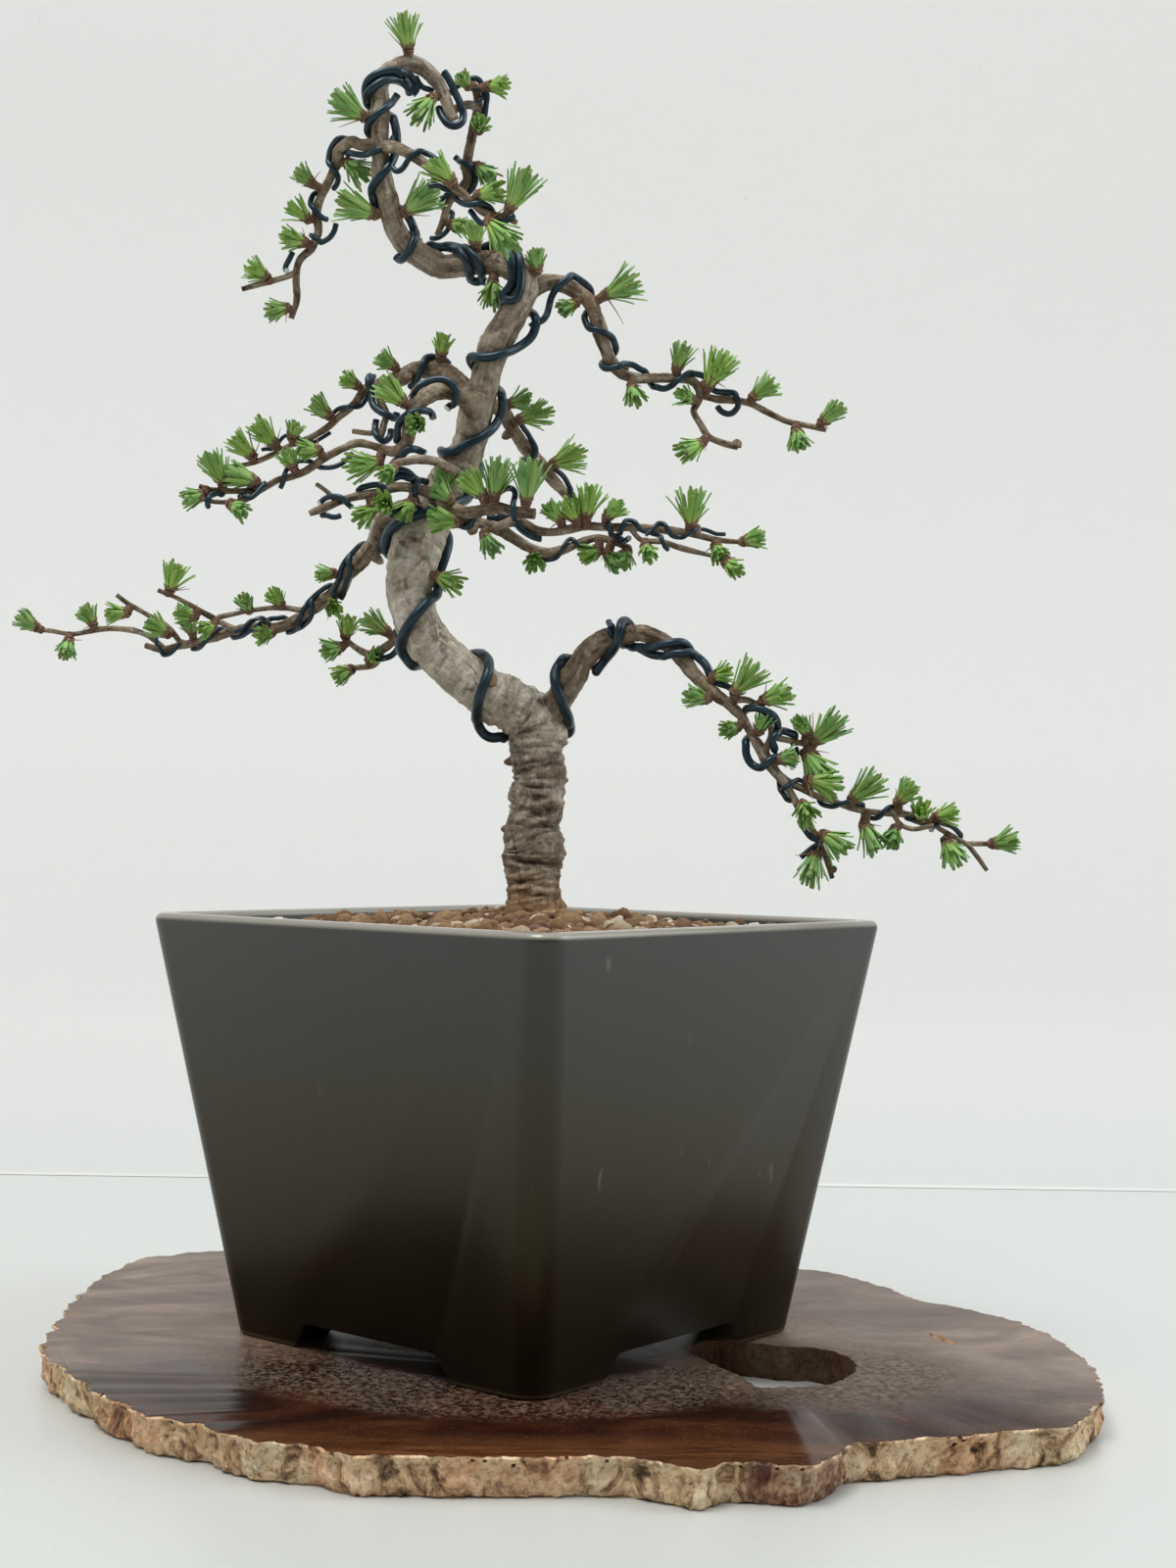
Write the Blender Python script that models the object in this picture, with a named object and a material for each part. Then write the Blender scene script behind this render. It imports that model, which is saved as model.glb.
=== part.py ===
"""Larch bonsai: a bent, wired larch in a square flared pot on a live-edge wooden slab. Metres, +Z up."""

import math
import random

import bmesh
import bpy
import numpy as np
from mathutils import Vector

# Driving dimensions of the stand and the pot
GAP = 0.0003
SLAB_THICK = 0.012
POT_TOP_SIDE = 0.180
POT_FOOT_SIDE = 0.1363
POT_HEIGHT = 0.1395
POT_WALL = 0.0075
POT_FLOOR = 0.009
POT_CORNER = 0.010
POT_TURN = math.radians(4.96)
FOOT_HEIGHT = 0.0085
ARCH_WIDTH = 0.064
ARCH_SLANT = 0.004
FOOT_LEG = 0.013
DRAIN_RADIUS = 0.010
TIE_HOLE_RADIUS = 0.003
TIE_HOLE_REACH = 0.030
DRAIN_SIDES = 16
INNER_CORNER = 0.006
CORNER_STEPS = 4
FOOT_ROUND = 0.001
RIM_ROUND = 0.0025
RIM_NARROWS = 0.0036
LIP_CHAMFER = 0.002
RECESS_DRAFT = 0.003
RIM_DROP = 0.0045
SOIL_MOUND = 0.0075
MOUND_SHAPE = 1.6
GRAIN_RELIEF = 0.0013
SOIL_COLUMNS = 30
SOIL_ROWS = 9
POT_BASE = SLAB_THICK + GAP
EDGE_WEAR = 0.0006
HOLE_NARROWS = 0.93
# How far a cutter runs past what it cuts, and how far apart two faces are kept from lying in one plane
THROUGH = 0.003
OFF_PLANE = 0.0001

# Driving dimensions of the plant
BLEND_STEPS = 12
LINE_STEP = 0.0018
LINE_OFF = 0.0005
LONGEST_RUN = 0.022
BARK_ROUGH = 0.05
TRUNK_CLEAR = 0.0004
STUB_LEAST = 0.0008
STUB_STAND = 0.0012
SPUR_RADIUS = 0.0019
SPUR_STAND = 0.0019
NEEDLE_REACH = 0.0125
CORE_LENGTH = 0.0046
CORE_RADIUS = 0.0023
THICK_WIRE = 0.0022
MIDDLE_WIRE = 0.0016
THIN_WIRE = 0.0012
WIRE_CLEAR = 0.0006
WIRE_LEAD = 0.22
NEEDLE_CLEAR = 0.0005
NEEDLE_RADIUS = 0.0008
# Degrees between a tuft's axis and the needles of its lower, middle and top faces
NEEDLE_LEANS = (43.0, 29.0, 13.0)
NEEDLE_TRIALS = 9
NEEDLE_TRIAL_TURN = 3.0
NEEDLE_TRIAL_SHORTER = 0.86
MOST_BENT = math.radians(75)
WIRE_STEPS = 6

# The viewpoint from which the outlines below were read, as pixels of a 1200 x 1600 picture
FOCAL_PX = 2215.0
CENTRE_PX = (600.0, 800.0)
EYE = Vector((0.0219, -0.738, 0.168 + POT_BASE))
LOOK_UP = math.radians(1.30)
ROLL = math.radians(0.84)
MM = 0.001

# Wood: each point is (pixel across, pixel down, millimetres towards the viewer, width in pixels)
TRUNK = (
    (546, 985, 0, 60), (545, 930, 0, 56), (544, 890, 0, 55), (545, 868, 0, 61), (543, 846, 0, 55),
    (548, 823, 0, 53), (551, 796, 0, 52), (547, 765, 0, 55), (546, 738, 0, 58), (525, 722, 1, 53),
    (495, 706, 3, 49), (468, 685, 4, 47), (445, 664, 5, 46), (428, 640, 6, 46), (419, 612, 6, 46),
    (419, 585, 5, 49), (426, 556, 3, 53), (437, 530, 0, 48), (449, 507, -2, 42), (462, 485, -3, 38),
    (476, 460, -3, 35), (484, 435, -2, 33), (490, 408, 0, 31), (498, 375, 2, 30), (511, 342, 3, 30),
    (528, 314, 3, 29), (535, 291, 2, 28), (526, 275, 1, 26), (504, 268, -1, 25), (479, 269, -3, 24),
    (453, 272, -4, 24), (432, 264, -4, 23), (412, 247, -3, 22), (402, 228, -1, 21), (396, 204, 1, 20),
    (391, 179, 3, 19), (388, 153, 4, 18), (388, 128, 4, 18), (388, 107, 3, 18), (387, 89, 2, 18),
    (393, 76, 1, 17), (407, 67, 0, 16), (421, 64, -2, 15), (438, 74, -3, 15), (450, 90, -3, 14),
    (458, 110, -2, 12), (463, 122, -2, 10),
)
LOW_RIGHT = (
    (
        (546, 748, 0, 40), (562, 727, 2, 33), (580, 698, 6, 27), (599, 669, 10, 24), (616, 654, 13, 22),
        (638, 648, 16, 19), (658, 647, 19, 18), (679, 656, 22, 17), (695, 671, 24, 16), (711, 690, 27, 14),
        (727, 706, 29, 13), (743, 718, 31, 12), (757, 732, 33, 10), (766, 748, 34, 9), (776, 765, 35, 12),
        (786, 781, 36, 12), (798, 795, 36, 10), (808, 811, 36, 8), (819, 832, 35, 7), (831, 850, 34, 7),
        (842, 873, 32, 6), (849, 896, 30, 5),
    ),
    (
        (740, 716, 31, 9), (752, 714, 33, 8), (767, 716, 35, 7), (781, 729, 37, 7), (787, 749, 37, 7),
        (780, 768, 36, 8),
    ),
    (
        (790, 786, 36, 9), (803, 797, 35, 8), (817, 804, 34, 8), (833, 812, 32, 7), (854, 819, 30, 7),
        (875, 826, 28, 7), (894, 829, 26, 7), (913, 830, 24, 7), (932, 832, 22, 6), (948, 838, 20, 6),
        (961, 847, 19, 6), (976, 855, 18, 5), (988, 863, 17, 5), (997, 874, 16, 5), (1007, 888, 15, 5),
    ),
    ((911, 830, 24, 5), (920, 842, 27, 5), (934, 846, 29, 5), (953, 842, 30, 5)),
    ((984, 861, 17, 5), (999, 861, 15, 5), (1011, 861, 13, 5)),
    ((786, 752, 37, 6), (797, 754, 34, 6), (811, 757, 31, 6), (826, 762, 29, 5), (842, 779, 28, 5)),
)
LOW_LEFT = (
    (
        (440, 524, 0, 26), (422, 520, 0, 23), (406, 522, -3, 21), (391, 532, -7, 19), (384, 551, -11, 18),
        (371, 569, -15, 17), (355, 585, -19, 16), (346, 601, -22, 15), (330, 613, -25, 13),
        (313, 626, -29, 12), (295, 636, -32, 12), (279, 641, -35, 11), (257, 641, -38, 10),
        (241, 643, -40, 9), (220, 650, -43, 9), (198, 656, -45, 8), (182, 659, -47, 8), (166, 663, -48, 7),
        (149, 659, -50, 6),
    ),
    (
        (168, 662, -48, 6), (150, 648, -50, 6), (129, 642, -53, 6), (102, 642, -56, 6), (75, 647, -58, 5),
        (54, 644, -60, 5), (43, 643, -61, 5),
    ),
    ((240, 643, -40, 7), (209, 626, -36, 6), (182, 611, -33, 5), (161, 602, -31, 5)),
    ((186, 658, -46, 6), (171, 640, -43, 6), (150, 627, -41, 5), (131, 616, -39, 5), (119, 607, -38, 5)),
    ((316, 624, -28, 7), (303, 622, -26, 6), (284, 620, -24, 6), (257, 623, -21, 5), (222, 630, -18, 5)),
)
SMALL_LEFT = (
    (
        (428, 642, 0, 12), (411, 645, -8, 10), (397, 658, -14, 9), (380, 667, -20, 8), (368, 664, -26, 7),
        (356, 655, -30, 6), (348, 642, -33, 5),
    ),
    ((391, 662, -16, 6), (383, 678, -18, 6), (367, 681, -22, 6), (357, 682, -25, 5)),
)
UPPER_LEFT = (
    (
        (488, 412, 0, 22), (478, 400, -3, 21), (467, 389, -6, 20), (454, 380, -8, 20), (437, 377, -9, 19),
        (423, 379, -10, 18), (410, 385, -11, 17), (396, 391, -12, 14), (383, 392, -13, 11),
        (371, 400, -14, 9), (362, 412, -15, 8), (346, 425, -16, 8), (333, 437, -17, 7), (314, 448, -18, 7),
        (295, 455, -19, 6), (276, 465, -20, 6), (256, 473, -21, 5), (228, 477, -22, 5),
    ),
    ((389, 389, -12, 9), (388, 408, -11, 9), (394, 423, -10, 8), (391, 435, -9, 8), (388, 447, -8, 7)),
    ((390, 440, -9, 6), (377, 442, -10, 6), (360, 440, -12, 5)),
)
FRONT_LEFT = (
    (
        (487, 428, 0, 16), (477, 414, 9, 16), (462, 401, 14, 16), (441, 401, 17, 17), (426, 414, 19, 16),
        (418, 434, 20, 15), (415, 452, 19, 13), (402, 461, 18, 11), (384, 456, 17, 9), (366, 452, 17, 8),
        (352, 457, 17, 8), (333, 466, 19, 8), (314, 479, 20, 8), (299, 486, 21, 7), (283, 490, 22, 7),
        (266, 499, 23, 7), (245, 501, 24, 6), (218, 500, 25, 6), (203, 496, 26, 5),
    ),
    ((270, 498, 23, 6), (247, 511, 26, 6), (218, 512, 28, 5), (203, 508, 29, 5)),
)
CROOKED = (
    (
        (468, 484, 0, 12), (458, 478, 14, 11), (445, 471, 23, 10), (427, 469, 28, 10), (412, 471, 29, 9),
        (400, 474, 29, 8),
    ),
)
MIDDLE_LEFT = (
    (
        (450, 508, 0, 16), (438, 503, 9, 13), (425, 499, 13, 11), (406, 497, 16, 10), (387, 502, 18, 9),
        (367, 506, 20, 9), (348, 511, 21, 8), (329, 519, 22, 8), (316, 524, 23, 7),
    ),
    ((344, 512, 21, 6), (333, 501, 19, 5), (323, 494, 18, 5)),
)
MIDDLE_RIGHT = (
    (
        (444, 514, 2, 16), (459, 517, 14, 14), (473, 523, 22, 12), (487, 522, 28, 12), (506, 518, 31, 12),
        (525, 522, 33, 12), (546, 525, 34, 11),
    ),
    (
        (466, 521, 18, 12), (480, 530, 18, 12), (495, 535, 17, 12), (510, 541, 17, 12), (525, 550, 17, 12),
        (541, 559, 18, 11), (558, 564, 18, 11), (577, 560, 18, 10), (596, 552, 18, 9), (612, 549, 18, 8),
        (630, 554, 18, 7), (642, 560, 18, 6),
    ),
    (
        (505, 539, 17, 11), (520, 533, 22, 10), (533, 534, 26, 10), (546, 541, 28, 10), (564, 543, 28, 9),
        (581, 540, 27, 9), (598, 537, 26, 9), (619, 538, 25, 9), (644, 538, 24, 8), (671, 540, 22, 8),
        (691, 542, 21, 8), (711, 546, 20, 7), (732, 551, 18, 6), (757, 553, 16, 5),
    ),
    (
        (644, 540, 24, 6), (655, 551, 25, 6), (676, 553, 25, 6), (691, 558, 24, 6), (705, 562, 23, 6),
        (722, 566, 22, 5), (737, 570, 21, 5), (750, 571, 20, 5),
    ),
)
BACK_RIGHT = (
    (
        (489, 414, 0, 18), (502, 413, -14, 16), (514, 421, -22, 15), (522, 436, -28, 14),
        (533, 453, -34, 14), (548, 470, -40, 13), (562, 487, -46, 12), (575, 502, -52, 10),
        (589, 516, -58, 8),
    ),
)
UPPER_RIGHT = (
    (
        (532, 300, 1, 22), (550, 291, 0, 19), (568, 288, -1, 17), (586, 296, -2, 16), (601, 309, -3, 15),
        (609, 327, -4, 15), (616, 351, -5, 14), (624, 370, -6, 13), (634, 381, -7, 12), (650, 386, -8, 11),
        (667, 386, -9, 10), (685, 386, -10, 9), (705, 389, -11, 9), (713, 397, -12, 9), (713, 408, -12, 8),
        (708, 420, -11, 7), (715, 433, -10, 7), (724, 446, -9, 7), (738, 452, -9, 7), (753, 456, -8, 7),
    ),
    (
        (711, 402, -12, 8), (730, 407, -13, 8), (745, 408, -13, 8), (763, 411, -14, 7), (782, 420, -14, 7),
        (803, 430, -15, 6), (822, 434, -15, 6), (843, 439, -15, 5),
    ),
)
TOP_LEFT = (
    (
        (390, 151, 4, 14), (378, 148, 5, 13), (369, 148, 4, 12), (358, 145, 1, 12), (347, 153, -3, 12),
        (343, 168, -6, 11), (336, 184, -8, 10), (328, 199, -11, 10), (323, 217, -12, 10),
        (325, 237, -13, 9), (318, 253, -14, 9), (306, 265, -15, 8), (302, 283, -16, 8), (303, 306, -17, 7),
        (297, 325, -18, 6),
    ),
    ((303, 277, -16, 6), (291, 283, -17, 6), (268, 289, -19, 6), (247, 295, -20, 5)),
)
TOP_RIGHT = (
    (
        (388, 150, 4, 13), (404, 151, 11, 12), (425, 161, 14, 11), (444, 176, 16, 10), (463, 191, 17, 9),
        (479, 204, 18, 9), (495, 217, 19, 8), (516, 222, 20, 7), (527, 227, 21, 6),
    ),
)
DESCENDING = (
    (
        (484, 87, -8, 8), (488, 106, -10, 9), (483, 133, -12, 10), (479, 153, -13, 10), (476, 172, -14, 10),
        (477, 184, -15, 10), (468, 195, -15, 10), (458, 206, -15, 9), (453, 224, -15, 8),
        (446, 240, -15, 6),
    ),
    ((459, 113, -2, 10), (468, 110, -6, 9), (478, 107, -9, 9), (488, 109, -10, 8)),
)

# Tufts: (pixels of the needles' base, pixels of their tips, size)
BRANCHES = {
    "branch_low_right": (
        LOW_RIGHT,
        (
            (729, 690, 746, 685, 0.8), (749, 710, 773, 683, 1.1), (725, 712, 702, 708, 1.0),
            (777, 716, 805, 708, 1.0), (752, 742, 736, 747, 0.8), (773, 748, 778, 731, 0.8),
            (824, 747, 812, 735, 0.8), (831, 757, 857, 731, 1.2), (792, 776, 810, 772, 0.8),
            (821, 768, 844, 802, 1.1), (825, 796, 857, 803, 1.0), (817, 820, 808, 843, 0.9),
            (837, 852, 860, 870, 1.1), (832, 871, 823, 903, 1.1), (869, 815, 898, 792, 1.1),
            (882, 842, 894, 870, 1.1), (917, 818, 932, 799, 1.0), (940, 836, 944, 814, 0.9),
            (913, 846, 907, 863, 0.9), (953, 835, 974, 830, 0.9), (965, 857, 975, 883, 1.1),
            (1011, 861, 1036, 857, 1.0),
        ),
    ),
    "branch_low_left": (
        LOW_LEFT,
        (
            (41, 642, 20, 630, 0.9), (71, 650, 67, 671, 0.9), (96, 640, 86, 621, 0.9),
            (129, 625, 107, 627, 1.0), (172, 604, 183, 576, 1.0), (174, 647, 153, 633, 0.9),
            (196, 645, 189, 628, 0.8), (198, 630, 178, 623, 0.9), (217, 639, 204, 646, 0.8),
            (254, 623, 249, 610, 0.8), (287, 616, 279, 606, 0.7), (279, 645, 265, 650, 0.8),
            (341, 584, 323, 586, 0.8), (339, 616, 344, 625, 0.8),
        ),
    ),
    "branch_small_left": (
        SMALL_LEFT,
        (
            (394, 644, 370, 631, 1.2), (348, 660, 327, 667, 1.0), (359, 682, 341, 692, 0.9),
            (376, 674, 392, 684, 0.8), (352, 650, 358, 630, 0.9),
        ),
    ),
    "branch_upper_left": (
        UPPER_LEFT,
        (
            (450, 366, 454, 344, 0.8), (406, 377, 388, 367, 0.8), (366, 394, 349, 387, 0.8),
            (339, 427, 320, 412, 0.9), (281, 454, 259, 431, 1.1), (259, 469, 238, 448, 1.1),
            (298, 450, 305, 434, 0.7),
        ),
    ),
    "branch_front_left": (
        FRONT_LEFT,
        (
            (428, 432, 424, 436, 1.0), (412, 412, 386, 390, 1.1), (327, 460, 305, 461, 0.8),
            (262, 492, 230, 485, 1.2), (228, 493, 214, 463, 1.2), (210, 502, 190, 510, 0.9),
            (235, 513, 251, 523, 0.8), (386, 472, 361, 449, 1.3), (300, 478, 290, 462, 0.8),
        ),
    ),
    "branch_crooked": (CROOKED, ((402, 476, 392, 488, 0.8),)),
    "branch_middle_left": (
        MIDDLE_LEFT,
        ((394, 513, 393, 517, 1.1), (380, 520, 359, 514, 1.0), (420, 512, 408, 530, 0.9)),
    ),
    "branch_middle_right": (
        MIDDLE_RIGHT,
        (
            (447, 510, 458, 483, 1.2), (493, 506, 473, 484, 1.1), (470, 532, 440, 530, 1.0),
            (504, 507, 510, 470, 1.2), (537, 512, 543, 465, 1.3), (493, 545, 504, 566, 0.9),
            (545, 568, 547, 579, 0.9), (611, 562, 592, 570, 0.9), (620, 566, 632, 580, 0.9),
            (572, 530, 556, 515, 0.9), (598, 527, 604, 497, 1.3), (588, 530, 577, 514, 1.0),
            (618, 528, 634, 514, 0.8), (640, 560, 636, 577, 0.8), (658, 557, 664, 572, 0.8),
            (757, 553, 778, 548, 0.9), (705, 535, 706, 499, 1.3), (730, 556, 735, 572, 0.8),
            (740, 573, 753, 585, 0.9), (462, 516, 445, 500, 0.9),
        ),
    ),
    "branch_back_right": (
        BACK_RIGHT,
        (
            (516, 414, 539, 410, 0.9), (529, 428, 563, 421, 1.1), (562, 474, 603, 461, 1.1),
            (589, 514, 600, 524, 0.8),
        ),
    ),
    "branch_upper_right": (
        UPPER_RIGHT,
        (
            (618, 301, 655, 288, 1.3), (589, 309, 572, 318, 0.8), (690, 378, 699, 352, 1.0),
            (644, 392, 650, 413, 0.9), (721, 397, 742, 355, 1.3), (707, 408, 692, 404, 0.8),
            (766, 408, 790, 394, 1.0), (837, 433, 858, 416, 1.0), (812, 436, 817, 459, 0.9),
            (716, 452, 691, 467, 1.1), (728, 388, 738, 372, 0.9),
        ),
    ),
    "branch_top_left": (
        TOP_LEFT,
        (
            (354, 166, 376, 185, 0.9), (318, 187, 301, 174, 0.9), (316, 225, 297, 209, 0.8),
            (315, 249, 290, 245, 1.0), (275, 286, 254, 273, 0.9), (294, 314, 273, 321, 0.9),
        ),
    ),
    "branch_top_right": (
        TOP_RIGHT,
        (
            (464, 190, 441, 169, 0.9), (486, 200, 513, 198, 0.9), (520, 213, 544, 171, 1.4),
            (498, 226, 524, 257, 1.3),
        ),
    ),
    "branch_descending": (
        DESCENDING,
        (
            (498, 88, 520, 91, 0.8), (478, 88, 470, 80, 0.6), (489, 133, 493, 128, 0.7),
            (488, 170, 506, 188, 0.9), (461, 229, 480, 236, 0.9),
        ),
    ),
}
TRUNK_TUFTS = (
    (417, 56, 413, 21, 1.2), (371, 119, 339, 101, 1.2), (382, 219, 340, 206, 1.3), (412, 218, 449, 194, 1.3),
    (441, 100, 423, 128, 1.0), (486, 256, 483, 232, 1.0), (503, 288, 504, 316, 0.9),
    (547, 282, 545, 261, 0.9), (446, 588, 472, 601, 0.8),
)

# Cut stubs, knots and dry spurs: (pixels of the tip, width in pixels)
STUBS = {
    "trunk": (
        (514, 778, 12), (511, 846, 13), (578, 871, 14), (580, 796, 12), (505, 690, 16),
        (425, 555, 14), (496, 258, 12), (430, 243, 10), (404, 555, 8),
    ),
    "branch_low_right": ((854, 886, 8), (690, 652, 9), (645, 636, 9)),
    "branch_low_left": ((391, 575, 10), (340, 600, 8)),
    "branch_upper_left": ((437, 365, 10), (420, 392, 10)),
    "branch_middle_right": ((480, 546, 11), (713, 535, 8)),
    "branch_back_right": ((512, 447, 9), (560, 474, 9)),
    "branch_upper_right": ((753, 448, 9), (640, 371, 9)),
    "branch_top_right": ((458, 168, 8), (440, 187, 8)),
    "branch_descending": ((470, 172, 8),),
}

# Training wires: the wood each follows, its radius and where it passes in front of the wood, going up or out
WIRES = {
    "wire_trunk": (
        "trunk", TRUNK, THICK_WIRE,
        (
            (500, 748), (488, 700), (432, 630), (414, 548), (489, 440), (514, 350), (527, 288), (470, 268),
            (414, 250), (393, 178), (389, 112), (394, 76), (452, 95),
        ),
    ),
    "wire_low_right_a": (
        "branch_low_right", LOW_RIGHT[0], MIDDLE_WIRE,
        ((585, 690), (622, 652), (664, 649), (702, 680), (736, 712)),
    ),
    "wire_low_right_b": ("branch_low_right", LOW_RIGHT[0], MIDDLE_WIRE, ((642, 648), (682, 659), (716, 696))),
    "wire_low_right_c": (
        "branch_low_right", LOW_RIGHT[2], THIN_WIRE,
        ((822, 807), (846, 816), (872, 825), (898, 829)),
    ),
    "wire_low_right_d": ("branch_low_right", LOW_RIGHT[0], THIN_WIRE, ((815, 822), (826, 842), (838, 864))),
    "wire_low_right_e": ("branch_low_right", LOW_RIGHT[0], THIN_WIRE, ((760, 737), (770, 756))),
    "wire_low_right_f": ("branch_low_right", LOW_RIGHT[2], THIN_WIRE, ((926, 831), (950, 839), (972, 853))),
    "wire_low_left_a": (
        "branch_low_left", LOW_LEFT[0], MIDDLE_WIRE,
        ((386, 546), (360, 580), (338, 607), (302, 632), (268, 641)),
    ),
    "wire_low_left_b": ("branch_low_left", LOW_LEFT[0], THIN_WIRE, ((226, 648), (208, 653), (192, 658))),
    "wire_upper_left": (
        "branch_upper_left", UPPER_LEFT[0], THIN_WIRE,
        ((368, 404), (348, 423), (322, 443), (296, 455), (272, 467)),
    ),
    "wire_droop": ("branch_upper_left", UPPER_LEFT[1], THIN_WIRE, ((390, 412), (392, 426))),
    "wire_front_left": (
        "branch_front_left", FRONT_LEFT[0], MIDDLE_WIRE,
        ((464, 402), (430, 408), (416, 440), (384, 456), (346, 460), (314, 479), (286, 489)),
    ),
    "wire_middle_left": (
        "branch_middle_left", MIDDLE_LEFT[0], THIN_WIRE, ((412, 497), (386, 502), (362, 507)),
    ),
    "wire_middle_right_a": (
        "branch_middle_right", MIDDLE_RIGHT[2], THIN_WIRE, ((552, 542), (576, 541), (598, 537), (622, 538)),
    ),
    "wire_middle_right_b": (
        "branch_middle_right", MIDDLE_RIGHT[2], THIN_WIRE, ((672, 540), (692, 542), (712, 547), (732, 551)),
    ),
    "wire_back_right": (
        "branch_back_right", BACK_RIGHT[0], THIN_WIRE, ((516, 424), (532, 451), (550, 473), (568, 494)),
    ),
    "wire_upper_right": (
        "branch_upper_right", UPPER_RIGHT[0], MIDDLE_WIRE,
        ((566, 288), (597, 303), (613, 340), (634, 381), (662, 386), (690, 387)),
    ),
    "wire_upper_right_tip": ("branch_upper_right", UPPER_RIGHT[1], THIN_WIRE, ((732, 407), (752, 409))),
    "wire_top_left": (
        "branch_top_left", TOP_LEFT[0], THIN_WIRE,
        ((351, 149), (343, 168), (334, 188), (325, 210), (324, 234)),
    ),
    "wire_top_right": (
        "branch_top_right", TOP_RIGHT[0], THIN_WIRE, ((430, 165), (450, 181), (472, 198), (492, 214)),
    ),
    "wire_descending": ("branch_descending", DESCENDING[0], THIN_WIRE, ((483, 130), (479, 155), (476, 182))),
}

# Rim of the slab's top face, as pixels; the stretch behind the pot is not seen and is given in metres
SLAB_RIM_PX = (
    (160, 1282), (139, 1289), (120, 1297), (91, 1317), (74, 1338), (58, 1358), (48, 1373), (70, 1394),
    (97, 1413),
    (135, 1432), (173, 1446), (211, 1451), (250, 1465), (288, 1469), (326, 1474), (364, 1482), (403, 1482),
    (479, 1484), (556, 1484), (636, 1484), (675, 1490), (713, 1497), (744, 1490), (790, 1492), (828, 1493),
    (851, 1482), (866, 1472), (904, 1469), (943, 1465), (981, 1463), (1019, 1459), (1057, 1457),
    (1096, 1451), (1111, 1436), (1122, 1424), (1115, 1405), (1104, 1388), (1069, 1363), (1038, 1350),
    (981, 1335), (935, 1327), (901, 1314), (841, 1298),
)
SLAB_BACK = (
    (0.086, 0.117), (0.052, 0.128), (0.016, 0.124), (-0.024, 0.135), (-0.066, 0.138), (-0.108, 0.133),
)
SLAB_HOLE_PX = (
    (702, 1377), (722, 1368), (767, 1370), (798, 1374), (830, 1375), (859, 1382), (874, 1393), (869, 1403),
    (851, 1411), (827, 1414), (804, 1415), (773, 1415), (758, 1406), (728, 1392),
)
# The slab's edge: (height, how far it lies in from the furthest reach)
SLAB_LAYERS = ((0.0, 0.0045), (0.0040, 0.0), (0.0095, 0.0003), (SLAB_THICK, 0.0028))

COLOURS = {
    "slab": ((0.16, 0.05, 0.03), 0.30, 0.0),
    "pot": ((0.035, 0.028, 0.022), 0.45, 0.0),
    "soil": ((0.32, 0.19, 0.11), 0.95, 0.0),
    "trunk": ((0.30, 0.22, 0.16), 0.90, 0.0),
    "foliage": ((0.20, 0.30, 0.08), 0.60, 0.0),
    "wire": ((0.015, 0.020, 0.028), 0.40, 0.6),
}


def clear_scene():
    for old in list(bpy.data.objects):
        bpy.data.objects.remove(old, do_unlink=True)


def material(slot):
    made = bpy.data.materials.get(slot)
    if made is None:
        colour, roughness, metallic = COLOURS[slot]
        made = bpy.data.materials.new(slot)
        made.use_nodes = True
        shader = made.node_tree.nodes["Principled BSDF"]
        shader.inputs["Base Color"].default_value = (*colour, 1.0)
        shader.inputs["Roughness"].default_value = roughness
        shader.inputs["Metallic"].default_value = metallic
    return made


# Sight lines


def sight_line(px, py):
    """The direction, with a Y part of 1, in which the viewer sees a pixel."""
    across = (px - CENTRE_PX[0]) / FOCAL_PX
    up = (CENTRE_PX[1] - py) / FOCAL_PX
    level_x = across * math.cos(ROLL) - up * math.sin(ROLL)
    level_z = across * math.sin(ROLL) + up * math.cos(ROLL)
    ahead = math.cos(LOOK_UP) - level_z * math.sin(LOOK_UP)
    rise = math.sin(LOOK_UP) + level_z * math.cos(LOOK_UP)
    return Vector((level_x / ahead, 1.0, rise / ahead))


def sight(px, py, toward):
    """The point seen at a pixel, that many millimetres nearer than the pot's axis."""
    return EYE + sight_line(px, py) * (-EYE.y - toward * MM)


def sight_level(px, py, height):
    """The point seen at a pixel on a level plane."""
    line = sight_line(px, py)
    return EYE + line * ((height - EYE.z) / line.z)


def pixel(point):
    """The pixel at which the viewer sees a point."""
    away = point - EYE
    ahead = away.y * math.cos(LOOK_UP) + away.z * math.sin(LOOK_UP)
    rise = away.z * math.cos(LOOK_UP) - away.y * math.sin(LOOK_UP)
    across = away.x * math.cos(ROLL) + rise * math.sin(ROLL)
    up = rise * math.cos(ROLL) - away.x * math.sin(ROLL)
    return CENTRE_PX[0] + FOCAL_PX * across / ahead, CENTRE_PX[1] - FOCAL_PX * up / ahead


# Curves


def blend(a, b, c, d, t):
    """Catmull-Rom between b and c."""
    return 0.5 * (2 * b + (c - a) * t + (2 * a - 5 * b + 4 * c - d) * t**2 + (3 * b - a - 3 * c + d) * t**3)


def wood_line(table):
    """(point, radius) pairs every two millimetres or so along the smooth line through a table."""
    knots = []
    for px, py, toward, width in table:
        centre = sight(px, py, toward)
        radius = 0.5 * width * (centre.y - EYE.y) / FOCAL_PX
        knots.append(np.array((*centre, radius)))
    knots = [2 * knots[0] - knots[1], *knots, 2 * knots[-1] - knots[-2]]
    dense = [
        blend(*knots[i : i + 4], step / BLEND_STEPS)
        for i in range(len(knots) - 3)
        for step in range(BLEND_STEPS)
    ]
    dense.append(knots[-2])
    line = [dense[0]]
    for row in dense[1:-1]:
        if np.linalg.norm(row[:3] - line[-1][:3]) > LINE_STEP:
            line.append(row)
    line.append(dense[-1])
    return [(Vector(row[:3]), float(row[3])) for row in line]


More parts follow.
